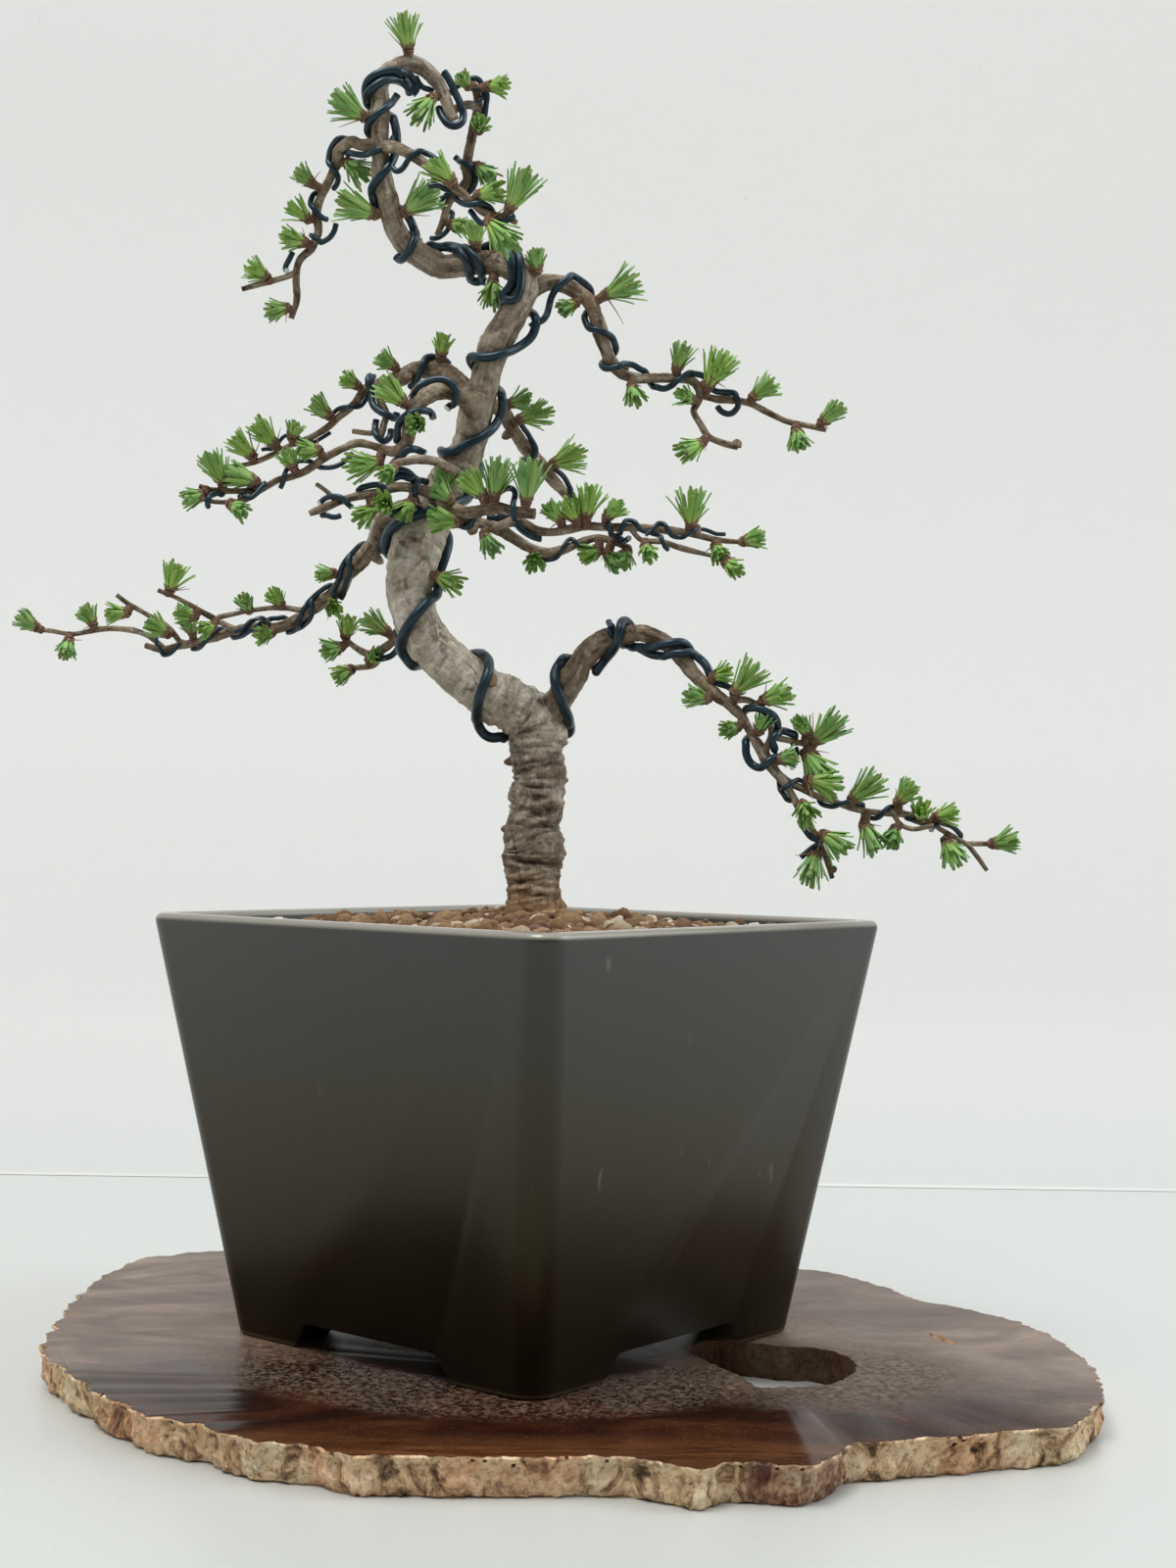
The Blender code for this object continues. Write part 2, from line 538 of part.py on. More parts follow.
def thinned(line):
    """The fewest points of a line that keep its centre and its radius within a small distance."""
    kept = [0]
    while kept[-1] < len(line) - 1:
        start = kept[-1]
        best = start + 1
        for end in range(start + 2, len(line)):
            a, first = line[start]
            b, second = line[end]
            chord = b - a
            if chord.length > LONGEST_RUN:
                break
            for point, radius in line[start + 1 : end]:
                part = (point - a).dot(chord) / chord.length_squared
                gap = (point - a - part * chord).length
                if max(gap, abs(first + (second - first) * part - radius)) > LINE_OFF:
                    break
            else:
                best = end
                continue
            break
        kept.append(best)
    return [line[i] for i in kept]


def across(axis, hint):
    """A unit vector square to the axis, as near the hint as it can be."""
    flat = hint - axis * hint.dot(axis)
    if flat.length < 1e-6:
        flat = axis.orthogonal()
    return flat.normalized()


def mesh_object(name, points, faces, slot):
    mesh = bpy.data.meshes.new(name)
    mesh.from_pydata([tuple(point) for point in points], [], faces)
    mesh.materials.append(material(slot))
    made = bpy.data.objects.new(name, mesh)
    bpy.context.scene.collection.objects.link(made)
    return made


def tube(name, line, sides, slot, swell=0.0, rough=0.0):
    """A closed tube along (point, radius) pairs. Rough pulls points inwards, never outwards."""
    draw = random.Random(name)
    points = []
    side = None
    for i, (centre, radius) in enumerate(line):
        ahead = (line[min(i + 1, len(line) - 1)][0] - line[max(i - 1, 0)][0]).normalized()
        side = across(ahead, side if side is not None else Vector((0.31, 1.0, 0.17)))
        other = ahead.cross(side)
        for k in range(sides):
            turn = math.tau * k / sides
            reach = (radius + swell) * (1.0 - rough * draw.random())
            points.append(centre + reach * (side * math.cos(turn) + other * math.sin(turn)))
    faces = [tuple(range(sides))[::-1]]
    for i in range(len(line) - 1):
        for k in range(sides):
            a, b = i * sides + k, i * sides + (k + 1) % sides
            faces.append((a, b, b + sides, a + sides))
    faces.append(tuple(range((len(line) - 1) * sides, len(line) * sides)))
    made = mesh_object(name, points, faces, slot)
    made.data.shade_smooth()
    made.data.set_sharp_from_angle(angle=math.radians(50))
    return made


# Booleans


def boolean(target, operation, cutter=None, collection=None, solver="EXACT"):
    """Applies one Boolean to the target's mesh."""
    modifier = target.modifiers.new(operation.lower(), "BOOLEAN")
    modifier.operation = operation
    modifier.solver = solver
    if collection is None:
        modifier.object = cutter
    else:
        modifier.operand_type = "COLLECTION"
        modifier.collection = collection
    graph = bpy.context.evaluated_depsgraph_get()
    result = bpy.data.meshes.new_from_object(target.evaluated_get(graph))
    target.modifiers.clear()
    target.data = result


def joined(target, others):
    """One Boolean union of the target with a collection of repeats, which are then removed.

    The EXACT solver leaves edges here that four faces share, so MANIFOLD joins them.
    """
    group = bpy.data.collections.new(target.name + "_repeats")
    bpy.context.scene.collection.children.link(group)
    for other in others:
        bpy.context.scene.collection.objects.unlink(other)
        group.objects.link(other)
    boolean(target, "UNION", collection=group, solver="MANIFOLD")
    for other in others:
        bpy.data.objects.remove(other, do_unlink=True)
    bpy.data.collections.remove(group)


# What is already standing somewhere, so that tufts can be bent clear of it


class Standing:
    """Rods, each with an owner, that other pieces' spurs and needles keep away from."""

    def __init__(self):
        self.rows = np.zeros((20000, 8))
        self.count = 0
        self.owners = []

    def add(self, owner, line):
        if owner not in self.owners:
            self.owners.append(owner)
        for (a, first), (b, second) in zip(line, line[1:]):
            self.rows[self.count] = (*a, *b, max(first, second), self.owners.index(owner))
            self.count += 1

    def room(self, apart_from, start, end, radius):
        """The least gap between a new rod and every rod of every other owner."""
        rows = self.rows[: self.count]
        if apart_from in self.owners:
            rows = rows[rows[:, 7] != self.owners.index(apart_from)]
        a, along, radii = rows[:, :3], rows[:, 3:6] - rows[:, :3], rows[:, 6]
        square = np.maximum((along**2).sum(axis=1), 1e-12)
        least = 1.0
        for part in np.linspace(0.0, 1.0, 6):
            point = np.array(start.lerp(end, part))
            t = np.clip(((point - a) * along).sum(axis=1) / square, 0.0, 1.0)
            gaps = np.linalg.norm(point - (a + along * t[:, None]), axis=1) - radii
            least = min(least, gaps.min() - radius)
        return least


# Tufts of needles on their spurs


def nearest_on(lines, px, py):
    """The line, and the place on it, that is seen nearest a pixel."""
    best = None
    for line in lines:
        for i, (point, _) in enumerate(line):
            seen = pixel(point)
            off = math.hypot(seen[0] - px, seen[1] - py)
            if best is None or off < best[0]:
                best = (off, line, i)
    return best[1], best[2]


def ring(centre, axis, hint, radius, count):
    side = across(axis, hint)
    other = axis.cross(side)
    turns = [math.tau * k / count for k in range(count)]
    return [centre + radius * (side * math.cos(t) + other * math.sin(t)) for t in turns]


def needle_reach(size):
    return NEEDLE_REACH * (0.35 + 0.65 * size)


def tuft_object(name, standing, root, base, axis, size, draw):
    """A spur that ends in a slim core, with each face of the core drawn out into a three-sided needle."""
    count = 4 if size >= 1.1 else 3
    reach = needle_reach(size)
    hint = Vector((draw.uniform(-1, 1), draw.uniform(-1, 1), draw.uniform(-1, 1)))
    rings = [
        ring(root, (base - root).normalized(), hint, 0.85 * SPUR_RADIUS, count),
        ring(base + 0.15 * CORE_LENGTH * axis, axis, hint, CORE_RADIUS, count),
        ring(base + 0.70 * CORE_LENGTH * axis, axis, hint, 0.62 * CORE_RADIUS, count),
    ]
    points = [point for each in rings for point in each]
    points.append(base + CORE_LENGTH * axis)
    faces = [tuple(range(count))[::-1]]
    drawn_out = []
    for k in range(count):
        following = (k + 1) % count
        a, b = k, following
        faces.append((a, b, b + count, a + count))
        a, b = count + k, count + following
        drawn_out.append(((a, b, b + count), NEEDLE_LEANS[0]))
        drawn_out.append(((a, b + count, a + count), NEEDLE_LEANS[1]))
    for k in range(count):
        a, b = 2 * count + k, 2 * count + (k + 1) % count
        drawn_out.append(((a, b, 3 * count), NEEDLE_LEANS[2]))
    needles = []
    for face, lean in drawn_out:
        middle = (points[face[0]] + points[face[1]] + points[face[2]]) / 3
        out = across(axis, middle - base)
        length = reach * draw.uniform(0.88, 1.0)
        for trial in range(NEEDLE_TRIALS):
            angle = math.radians(lean + draw.uniform(-4, 4) - NEEDLE_TRIAL_TURN * trial)
            tip = base + length * (axis * math.cos(angle) + out * math.sin(angle))
            if standing.room(name, middle.lerp(tip, 0.15), tip, NEEDLE_RADIUS) > NEEDLE_CLEAR:
                break
            length *= NEEDLE_TRIAL_SHORTER
        needles.append(((middle, NEEDLE_RADIUS), (tip, NEEDLE_RADIUS)))
        points.append(tip)
        last = len(points) - 1
        faces.extend(((face[0], face[1], last), (face[1], face[2], last), (face[2], face[0], last)))
    for needle in needles:
        standing.add(name, needle)
    return mesh_object(name, points, faces, "foliage")


def tuft(name, owner, standing, lines, reading, draw):
    """Stands a tuft on the owner's wood, slid along it where a wire or another branch is in the way."""
    px, py, tip_px, tip_py, size = reading
    line, place = nearest_on(lines, px, py)
    reach = needle_reach(size)
    flat = sight(tip_px, tip_py, 0) - sight(px, py, 0)
    flat.y = 0.0
    if flat.length > 0.96 * reach:
        flat *= 0.96 * reach / flat.length
    axis = (flat - Vector((0.0, math.sqrt(reach**2 - flat.length_squared), 0.0))).normalized()
    options = []
    for turned in (0.0, 0.5, -0.5, 1.0):
        for slid in (0, 1, -1, 2, -2, 3, -3, 4, -4, 5, -5):
            i = place + slid
            if not 0 <= i < len(line):
                continue
            root, radius = line[i]
            shift = root - line[place][0]
            stood = axis.y * (radius + SPUR_STAND)
            toward = -line[place][0].y / MM - stood / MM
            base = sight(px, py, toward) + shift
            heading = (axis + Vector((0.0, turned, 0.0))).normalized()
            if (base - root).length < radius + SPUR_STAND:
                base = root + (base - root + 0.4 * radius * heading).normalized() * (radius + SPUR_STAND)
            spur = (base - root).normalized()
            if spur.angle(heading) > MOST_BENT:
                heading = (heading + spur).normalized()
            surface = root + spur * radius
            top = base + heading * CORE_LENGTH
            room = min(
                standing.room(owner, surface, base, SPUR_RADIUS),
                standing.room(owner, base, top, CORE_RADIUS),
            )
            options.append((room, -len(options), root, base, heading))
            if room > NEEDLE_CLEAR:
                break
        else:
            continue
        break
    good = [option for option in options if option[0] > NEEDLE_CLEAR]
    _, _, root, base, heading = (good or [max(options, key=lambda option: option[0])])[0]
    crown = base + heading * CORE_LENGTH
    standing.add(name, ((root, SPUR_RADIUS), (base, SPUR_RADIUS), (crown, CORE_RADIUS)))
    return tuft_object(name, standing, root, base, heading, size, draw)


def stub(name, owner, standing, lines, reading):
    """A short cut stub or dry spur from the wood towards a pixel, slid along the wood clear of the wires."""
    px, py, width = reading
    line, place = nearest_on(lines, px, py)
    seen = sight(px, py, -line[place][0].y / MM) - line[place][0]
    thick = 0.5 * width * (line[place][0].y - EYE.y) / FOCAL_PX
    options = []
    for slid in range(-6, 7):
        i = place + slid
        if 0 <= i < len(line):
            root, radius = line[i]
            out = seen
            if out.length < radius + STUB_LEAST:
                out = 0.7 * seen + Vector((0.0, -radius - STUB_STAND, 0.0))
            room = standing.room(owner, root + out.normalized() * radius, root + out, thick)
            options.append((min(room, NEEDLE_CLEAR), -abs(slid), i, tuple(out)))
    _, _, i, out = max(options)
    root, out = line[i][0], Vector(out)
    samples = [(root, thick * 1.1), (root + 0.8 * out, thick), (root + out, thick * 0.7)]
    standing.add(name, samples)
    return tube(name, samples, 4, "trunk", rough=BARK_ROUGH)


# Training wires


def wire_line(wood, crossings, radius):
    """A helix round the wood that passes in front of it at each crossing, and ends soon past the last."""
    points = [point for point, _ in wood]
    run = [0.0]
    for before, after in zip(points, points[1:]):
        run.append(run[-1] + (after - before).length)
    places = []
    for px, py in crossings:
        offs = [math.hypot(pixel(p)[0] - px, pixel(p)[1] - py) for p in points]
        places.append(run[offs.index(min(offs))])
    first, last = places[0], places[-1]
    lead = WIRE_LEAD * (places[1] - first)
    tail = WIRE_LEAD * (last - places[-2])
    knots = [max(first - lead, run[1])] + places + [min(last + tail, run[-2])]
    turns = [-WIRE_LEAD] + list(range(len(places))) + [len(places) - 1 + WIRE_LEAD]
    total = int(round((turns[-1] - turns[0]) * WIRE_STEPS))
    line = []
    for i in range(total + 1):
        turn = turns[0] + (turns[-1] - turns[0]) * i / total
        at = float(np.interp(turn, turns, knots))
        k = min(max(int(np.searchsorted(run, at)) - 1, 0), len(points) - 2)
        share = (at - run[k]) / (run[k + 1] - run[k])
        centre = points[k].lerp(points[k + 1], share)
        thick = wood[k][1] + (wood[k + 1][1] - wood[k][1]) * share
        ahead = (points[min(k + 2, len(points) - 1)] - points[max(k - 1, 0)]).normalized()
        front = across(ahead, Vector((0.0, -1.0, 0.0)))
        side = ahead.cross(front)
        reach = (thick + radius + WIRE_CLEAR) / math.cos(math.pi / WIRE_STEPS)
        angle = math.tau * turn
        line.append((centre + reach * (front * math.cos(angle) + side * math.sin(angle)), radius))
    return line


# The pot and its soil


def square_ring(side, height, corner):
    """A rounded square, turned so that one corner faces the viewer."""
    points = []
    half = side / 2 - corner
    for quarter in range(4):
        base = math.radians(-135 + 90 * quarter)
        middle = Vector((half * math.sqrt(2) * math.cos(base), half * math.sqrt(2) * math.sin(base)))
        for k in range(CORNER_STEPS):
            turn = base - math.radians(45) + math.radians(90) * k / (CORNER_STEPS - 1)
            points.append(middle + corner * Vector((math.cos(turn), math.sin(turn))))
    spin = POT_TURN + math.radians(45)
    cos, sin = math.cos(spin), math.sin(spin)
    return [Vector((p.x * cos - p.y * sin, p.x * sin + p.y * cos, height)) for p in points]


def even_ring(side, height, corner, count):
    """The rounded square again, with its points spaced evenly along it."""
    outline = square_ring(side, height, corner)
    outline.append(outline[0])
    run = [0.0]
    for before, after in zip(outline, outline[1:]):
        run.append(run[-1] + (after - before).length)
    spaced = []
    for k in range(count):
        at = run[-1] * k / count
        spaced.append(Vector([float(np.interp(at, run, [p[axis] for p in outline])) for axis in range(3)]))
    return spaced


def loft(name, rings, slot):
    count = len(rings[0])
    points = [point for each in rings for point in each]
    faces = [tuple(range(count))[::-1]]
    for i in range(len(rings) - 1):
        for k in range(count):
            a, b = i * count + k, i * count + (k + 1) % count
            faces.append((a, b, b + count, a + count))
    faces.append(tuple(range((len(rings) - 1) * count, len(rings) * count)))
    return mesh_object(name, points, faces, slot)


def pot_side(height):
    """The pot's outer width at a height above its feet."""
    return POT_FOOT_SIDE + (POT_TOP_SIDE - POT_FOOT_SIDE) * height / POT_HEIGHT


def as_cutter(obj):
    obj.hide_render = True
    obj.display_type = "WIRE"
    return obj


def remove(obj):
    bpy.data.objects.remove(obj, do_unlink=True)


def make_pot():
    top = POT_BASE + POT_HEIGHT
    inner_floor = FOOT_HEIGHT + POT_FLOOR
    mouth = POT_TOP_SIDE - 2 * POT_WALL
    outside = [
        square_ring(pot_side(0) - 2 * FOOT_ROUND, POT_BASE, POT_CORNER),
        square_ring(pot_side(FOOT_ROUND), POT_BASE + FOOT_ROUND, POT_CORNER),
        square_ring(pot_side(POT_HEIGHT - RIM_ROUND), top - RIM_ROUND, POT_CORNER),
        square_ring(POT_TOP_SIDE - RIM_NARROWS / 3, top - RIM_ROUND / 4, POT_CORNER),
        square_ring(POT_TOP_SIDE - RIM_NARROWS, top, POT_CORNER - RIM_NARROWS / 3),
    ]
    pot = loft("pot", outside, "pot")
    hollow = loft(
        "hollow",
        [
            square_ring(pot_side(inner_floor) - 2 * POT_WALL, POT_BASE + inner_floor, INNER_CORNER),
            square_ring(mouth, top - LIP_CHAMFER, INNER_CORNER),
            square_ring(mouth + 2 * LIP_CHAMFER, top + LIP_CHAMFER / 2, INNER_CORNER),
        ],
        "pot",
    )
    boolean(pot, "DIFFERENCE", as_cutter(hollow))
    remove(hollow)
    cutters = []
    for quarter in range(2):
        spin = POT_TURN + math.radians(45 + 90 * quarter)
        along = Vector((math.cos(spin), math.sin(spin), 0.0)) * POT_TOP_SIDE
        beside = Vector((-math.sin(spin), math.cos(spin), 0.0)) * ARCH_WIDTH / 2
        slant = beside.normalized() * ARCH_SLANT
        low, high = POT_BASE - THROUGH, POT_BASE + FOOT_HEIGHT
        corners = [Vector((0, 0, low)) + beside + slant, Vector((0, 0, low)) - beside - slant]
        corners += [Vector((0, 0, high)) - beside + slant, Vector((0, 0, high)) + beside - slant]
        points = [corner - along / 2 for corner in corners] + [corner + along / 2 for corner in corners]
        faces = [(0, 1, 2, 3)] + [(4 + k, 4 + (k + 1) % 4, (k + 1) % 4, k) for k in range(4)] + [(7, 6, 5, 4)]
        arch = mesh_object("arch", points, faces, "pot")
        outward(arch)
        cutters.append(arch)
    recess = POT_FOOT_SIDE - 2 * FOOT_LEG
    cutters.append(
        loft(
            "recess",
            [
                square_ring(recess, POT_BASE - THROUGH, INNER_CORNER),
                square_ring(recess - RECESS_DRAFT, POT_BASE + FOOT_HEIGHT - OFF_PLANE, INNER_CORNER),
            ],
            "pot",
        )
    )
    holes = [(0.0, 0.0, DRAIN_RADIUS)]
    holes += [(TIE_HOLE_REACH * sign, 0.0, TIE_HOLE_RADIUS) for sign in (-1, 1)]
    up, right = Vector((0, 0, 1)), Vector((1, 0, 0))
    for x, y, radius in holes:
        heights = (POT_BASE + FOOT_HEIGHT - THROUGH, POT_BASE + inner_floor + THROUGH)
        ends = [ring(Vector((x, y, z)), up, right, radius, DRAIN_SIDES) for z in heights]
        cutters.append(loft("drain", ends, "pot"))
    for cutter in cutters:
        boolean(pot, "DIFFERENCE", as_cutter(cutter))
        remove(cutter)
    pot.data.shade_smooth()
    pot.data.set_sharp_from_angle(angle=math.radians(35))
    return pot


def outward(obj):
    """Turns every face of a closed mesh outwards."""
    shape = bmesh.new()
    shape.from_mesh(obj.data)
    bmesh.ops.recalc_face_normals(shape, faces=shape.faces)
    shape.to_mesh(obj.data)
    shape.free()


def make_soil(trunk_cutter):
    """The soil fills the pot and mounds to the trunk, with grains raised larger than life."""
    draw = random.Random("soil")
    inner_floor = FOOT_HEIGHT + POT_FLOOR
    level = POT_HEIGHT - RIM_DROP
    play = 4 * GAP
    side_low = pot_side(inner_floor) - 2 * POT_WALL - play
    share = (level - inner_floor) / (POT_HEIGHT - LIP_CHAMFER - inner_floor)
    side_high = side_low + share * (POT_TOP_SIDE - 2 * POT_WALL - play - side_low)
    rings = [
        even_ring(side_low, POT_BASE + inner_floor + GAP, INNER_CORNER, SOIL_COLUMNS),
        even_ring(side_high, POT_BASE + level, INNER_CORNER, SOIL_COLUMNS),
    ]
    for row in range(1, SOIL_ROWS):
        part = 1 - row / SOIL_ROWS
        raised = []
        for point in even_ring(side_high * part, 0.0, INNER_CORNER * part, SOIL_COLUMNS):
            mound = SOIL_MOUND * (1 - part) ** MOUND_SHAPE
            grain = GRAIN_RELIEF * draw.uniform(-1, 1)
            raised.append(Vector((point.x, point.y, POT_BASE + level + mound + grain)))
        rings.append(raised)
    soil = loft("soil", rings, "soil")
    boolean(soil, "DIFFERENCE", trunk_cutter)
    return soil


# The slab


def make_slab():
    rim = [sight_level(px, py, SLAB_THICK) for px, py in SLAB_RIM_PX]
    rim += [Vector((x, y, SLAB_THICK)) for x, y in SLAB_BACK]
    draw = random.Random("slab")
    count = len(rim)
    rings = []
    for height, inset in SLAB_LAYERS:
        level = []
        for k, point in enumerate(rim):
            along = (rim[(k + 1) % count] - rim[k - 1]).normalized()
            inward = Vector((-along.y, along.x, 0.0))
            worn = 0.0 if inset in (0.0, SLAB_LAYERS[-1][1]) else draw.uniform(-EDGE_WEAR, EDGE_WEAR)
            moved = point + inward * (inset - SLAB_LAYERS[-1][1] + worn)
            level.append(Vector((moved.x, moved.y, height)))
        rings.append(level)
    slab = loft("display_slab", rings, "slab")
    outward(slab)
    hole = [sight_level(px, py, SLAB_THICK) for px, py in SLAB_HOLE_PX]
    middle = sum(hole, Vector()) / len(hole)
    ends = []
    for height, scale in ((-THROUGH, HOLE_NARROWS), (SLAB_THICK + THROUGH, 1.0)):
        ends.append([middle + (point - middle) * scale for point in hole])
        for point in ends[-1]:
            point.z = height
    cutter = loft("hole", ends, "slab")
    outward(cutter)
    boolean(slab, "DIFFERENCE", as_cutter(cutter))
    remove(cutter)
    slab.data.shade_smooth()
    slab.data.set_sharp_from_angle(angle=math.radians(35))
    return slab


# The plant


def wood_sides(line):
    thickest = max(radius for _, radius in line)
    return 10 if thickest > 0.009 else 7 if thickest > 0.0035 else 5 if thickest > 0.0012 else 4


def largest_body(obj):
    """Drops the loose scraps that a cut leaves and fills the small hollows that a union seals."""
    shape = bmesh.new()
    shape.from_mesh(obj.data)
    left = set(shape.faces)
    bodies = []
    while left:
        reached = [left.pop()]
        body = set(reached)
        while reached:
            for edge in reached.pop().edges:
                for face in edge.link_faces:
                    if face in left:
                        left.remove(face)
                        body.add(face)
                        reached.append(face)
        bodies.append(body)
    largest = max(bodies, key=len)
    scraps = [face for body in bodies if body is not largest for face in body]
    bmesh.ops.delete(shape, geom=scraps, context="FACES")
    shape.to_mesh(obj.data)
    shape.free()


def make_plant():
    standing = Standing()
    wood = {"trunk": [wood_line(TRUNK)]}
    for name, (tables, _) in BRANCHES.items():
        wood[name] = [wood_line(table) for table in tables]
    for name, lines in wood.items():
        for line in lines:
            standing.add(name, thinned(line))
    for name, (owner, table, radius, crossings) in WIRES.items():
        line = wire_line(wood_line(table), crossings, radius)
        standing.add(name, line)
        tube(name, line, 5 if radius == THICK_WIRE else 4, "wire")
    trunk_line = thinned(wood["trunk"][0])
    room = tube("trunk_room", trunk_line, wood_sides(trunk_line), "trunk", swell=TRUNK_CLEAR)
    trunk_cutter = as_cutter(room)
    readings = {"trunk": TRUNK_TUFTS, **{name: tufts for name, (_, tufts) in BRANCHES.items()}}
    for name, lines in wood.items():
        draw = random.Random(name)
        tubes = [
            tube(f"{name}_{i}", thinned(line), wood_sides(line), "trunk", rough=BARK_ROUGH)
            for i, line in enumerate(lines)
        ]
        for i, reading in enumerate(STUBS.get(name, ())):
            tubes.append(stub(f"{name}_stub_{i}", name, standing, lines, reading))
        for i, reading in enumerate(readings[name]):
            tubes.append(tuft(f"{name}_tuft_{i}", name, standing, lines, reading, draw))
        body = tubes[0]
        joined(body, tubes[1:])
        if name != "trunk":
            boolean(body, "DIFFERENCE", trunk_cutter, solver="MANIFOLD")
        largest_body(body)
        body.name = name
    make_soil(trunk_cutter)
    remove(trunk_cutter)


def main():
    clear_scene()
    make_slab()
    make_pot()
    make_plant()


main()
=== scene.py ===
"""The looks of a wired larch bonsai in a square pot on a live-edge slab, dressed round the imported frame."""

import math
import random

import bmesh
import bpy
import numpy as np
from mathutils import Matrix, Vector, noise


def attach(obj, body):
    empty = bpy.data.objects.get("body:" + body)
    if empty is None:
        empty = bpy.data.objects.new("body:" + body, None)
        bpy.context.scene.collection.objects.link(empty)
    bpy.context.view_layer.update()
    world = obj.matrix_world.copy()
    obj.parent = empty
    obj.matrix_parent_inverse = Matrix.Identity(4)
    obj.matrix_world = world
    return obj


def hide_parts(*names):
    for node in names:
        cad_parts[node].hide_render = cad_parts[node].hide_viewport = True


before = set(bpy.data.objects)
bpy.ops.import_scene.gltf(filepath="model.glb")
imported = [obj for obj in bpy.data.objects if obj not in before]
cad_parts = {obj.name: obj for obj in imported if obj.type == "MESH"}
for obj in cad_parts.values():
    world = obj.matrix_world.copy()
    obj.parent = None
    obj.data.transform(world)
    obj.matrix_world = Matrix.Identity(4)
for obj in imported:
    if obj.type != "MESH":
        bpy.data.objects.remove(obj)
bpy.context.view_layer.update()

# Driving dimensions that the solids share
MM = 0.001
GAP = 0.0003
SLAB_THICK = 0.012
POT_TOP_SIDE = 0.180
POT_FOOT_SIDE = 0.1363
POT_HEIGHT = 0.1395
POT_WALL = 0.0075
POT_FLOOR = 0.009
POT_CORNER = 0.010
POT_TURN = math.radians(4.96)
FOOT_HEIGHT = 0.0085
ARCH_WIDTH = 0.064
ARCH_SLANT = 0.004
FOOT_LEG = 0.013
INNER_CORNER = 0.006
RIM_NARROWS = 0.0036
RIM_DROP = 0.0045
SOIL_MOUND = 0.0075
MOUND_SHAPE = 1.6
POT_BASE = SLAB_THICK + GAP
SPUR_RADIUS = 0.0019
SPUR_STAND = 0.0019
NEEDLE_REACH = 0.0125

# The viewpoint from which the outlines were read, as pixels of a 1200 x 1600 picture
PICTURE = (1200, 1600)
FOCAL_PX = 2215.0
CENTRE_PX = (600.0, 800.0)
EYE = Vector((0.0219, -0.738, 0.168 + POT_BASE))
LOOK_UP = math.radians(1.30)
ROLL = math.radians(0.84)
SENSOR_MM = 36.0

# Finer than the solids: steps along the wood and sides round it
TRUNK_STEP = 0.00055
BRANCH_STEP = 0.0007
TRUNK_SIDES = 72
SPUR_RINGS = 0.0008
NEEDLE_WIDTH = 0.00135
NEEDLE_THICK = 0.00065
WIRE_SIDES = 12
WIRE_STEP = 0.0006
WIRE_CLEAR = 0.0001
WOOD_STEP = 0.0012
CORNER_STEPS = 12
CURVE_PARTS = 24

# Bark: the lengths along the trunk at which the ringed kind ends and the fissured kind begins, the lengths
# over which they fade, and the trunk's radius from which the bark has its full depth
RINGED_TO = 0.125
RINGED_FADE = 0.035
FISSURED_FROM = 0.20
FISSURED_FADE = 0.06
FULL_BARK = 0.006

# A stub at least so many pixels wide shows a sawn face; one whose tip is seen hardly past the wood is pushed
# towards the viewer
SAWN_WIDTH = 15
STUB_STANDS = 0.0008
STUB_PUSH = 0.0012
STUB_STEPS = 18

# Tufts: a needle's width at each part of its length, as a share of its widest, and the angle by which each
# needle turns past the one before, so that they fill the crown evenly
NEEDLE_SHARES = ((0.0, 0.58), (0.30, 0.90), (0.66, 1.0), (0.93, 0.92), (1.0, 0.55))
EVEN_TURN = 2.39996
WHISKER_RADIUS = 0.00026
WHISKER_TAPER = 0.00004
BUD_SCALES = 8
SCALE_THICK = 0.00022

# Pot: roundings of the foot, the rim and the mouth, softer than the solid's, how far a cutter reaches past
# what it cuts, and the holes through the floor as (place across the pot, radius)
FOOT_EASE = 0.0018
FOOT_LIFT = 0.0011
RIM_EASE = 0.0028
MOUTH_EASE = 0.0024
MOUTH_FLARE = 0.0036
MOUTH_CORNER = 0.0065
ARCH_EASE = 0.0032
POT_BEVEL = 0.0006
PAST = 0.003
DRAINS = ((0.0, 0.010), (-0.030, 0.003), (0.030, 0.003))

# Soil: a bed that ends a little below the soil's level, with granules in staggered rows, each moved a little.
# A draw below CLAY_UP_TO is clay, one below PUMICE_UP_TO pumice and any other lava; none lies in the trunk.
SOIL_CLEAR = 0.0009
BED_CELLS = 90
BED_SUNK = 0.0026
BED_BOTTOM = 0.0185
GRANULE_APART = 0.0039
ROWS_APART = 0.87 * GRANULE_APART
GRANULE_SHIFT = 0.0009
SMALL_GRANULE = (0.0014, 0.0026)
LARGE_GRANULE = (0.0026, 0.0043)
SMALL_SHARE = 0.82
CLAY_UP_TO = 0.80
PUMICE_UP_TO = 0.91
TRUNK_CLEAR = 0.0085

# Slab: (height, how far the edge is drawn in there), the heights at which the hole's wall is drawn, how far
# back the hole leans lower down, and the depth of the crack
SLAB_STEP = 0.0011
SLAB_LAYERS = (
    (0.0, 0.0040), (0.0008, 0.0031), (0.0022, 0.0024), (0.0038, 0.0021), (0.0054, 0.0022), (0.0070, 0.0023),
    (0.0085, 0.0021), (0.0100, 0.0014), (0.0112, 0.0006), (0.0118, 0.0008), (SLAB_THICK, 0.0016),
)
HOLE_STEP = 0.0008
HOLE_HEIGHTS = (-0.004, 0.0, 0.0015, 0.003, 0.0045, 0.006, 0.0075, 0.009, 0.0105, 0.0118, 0.0145)
HOLE_LEANS = 0.0035
CRACK_DEEP = 0.004

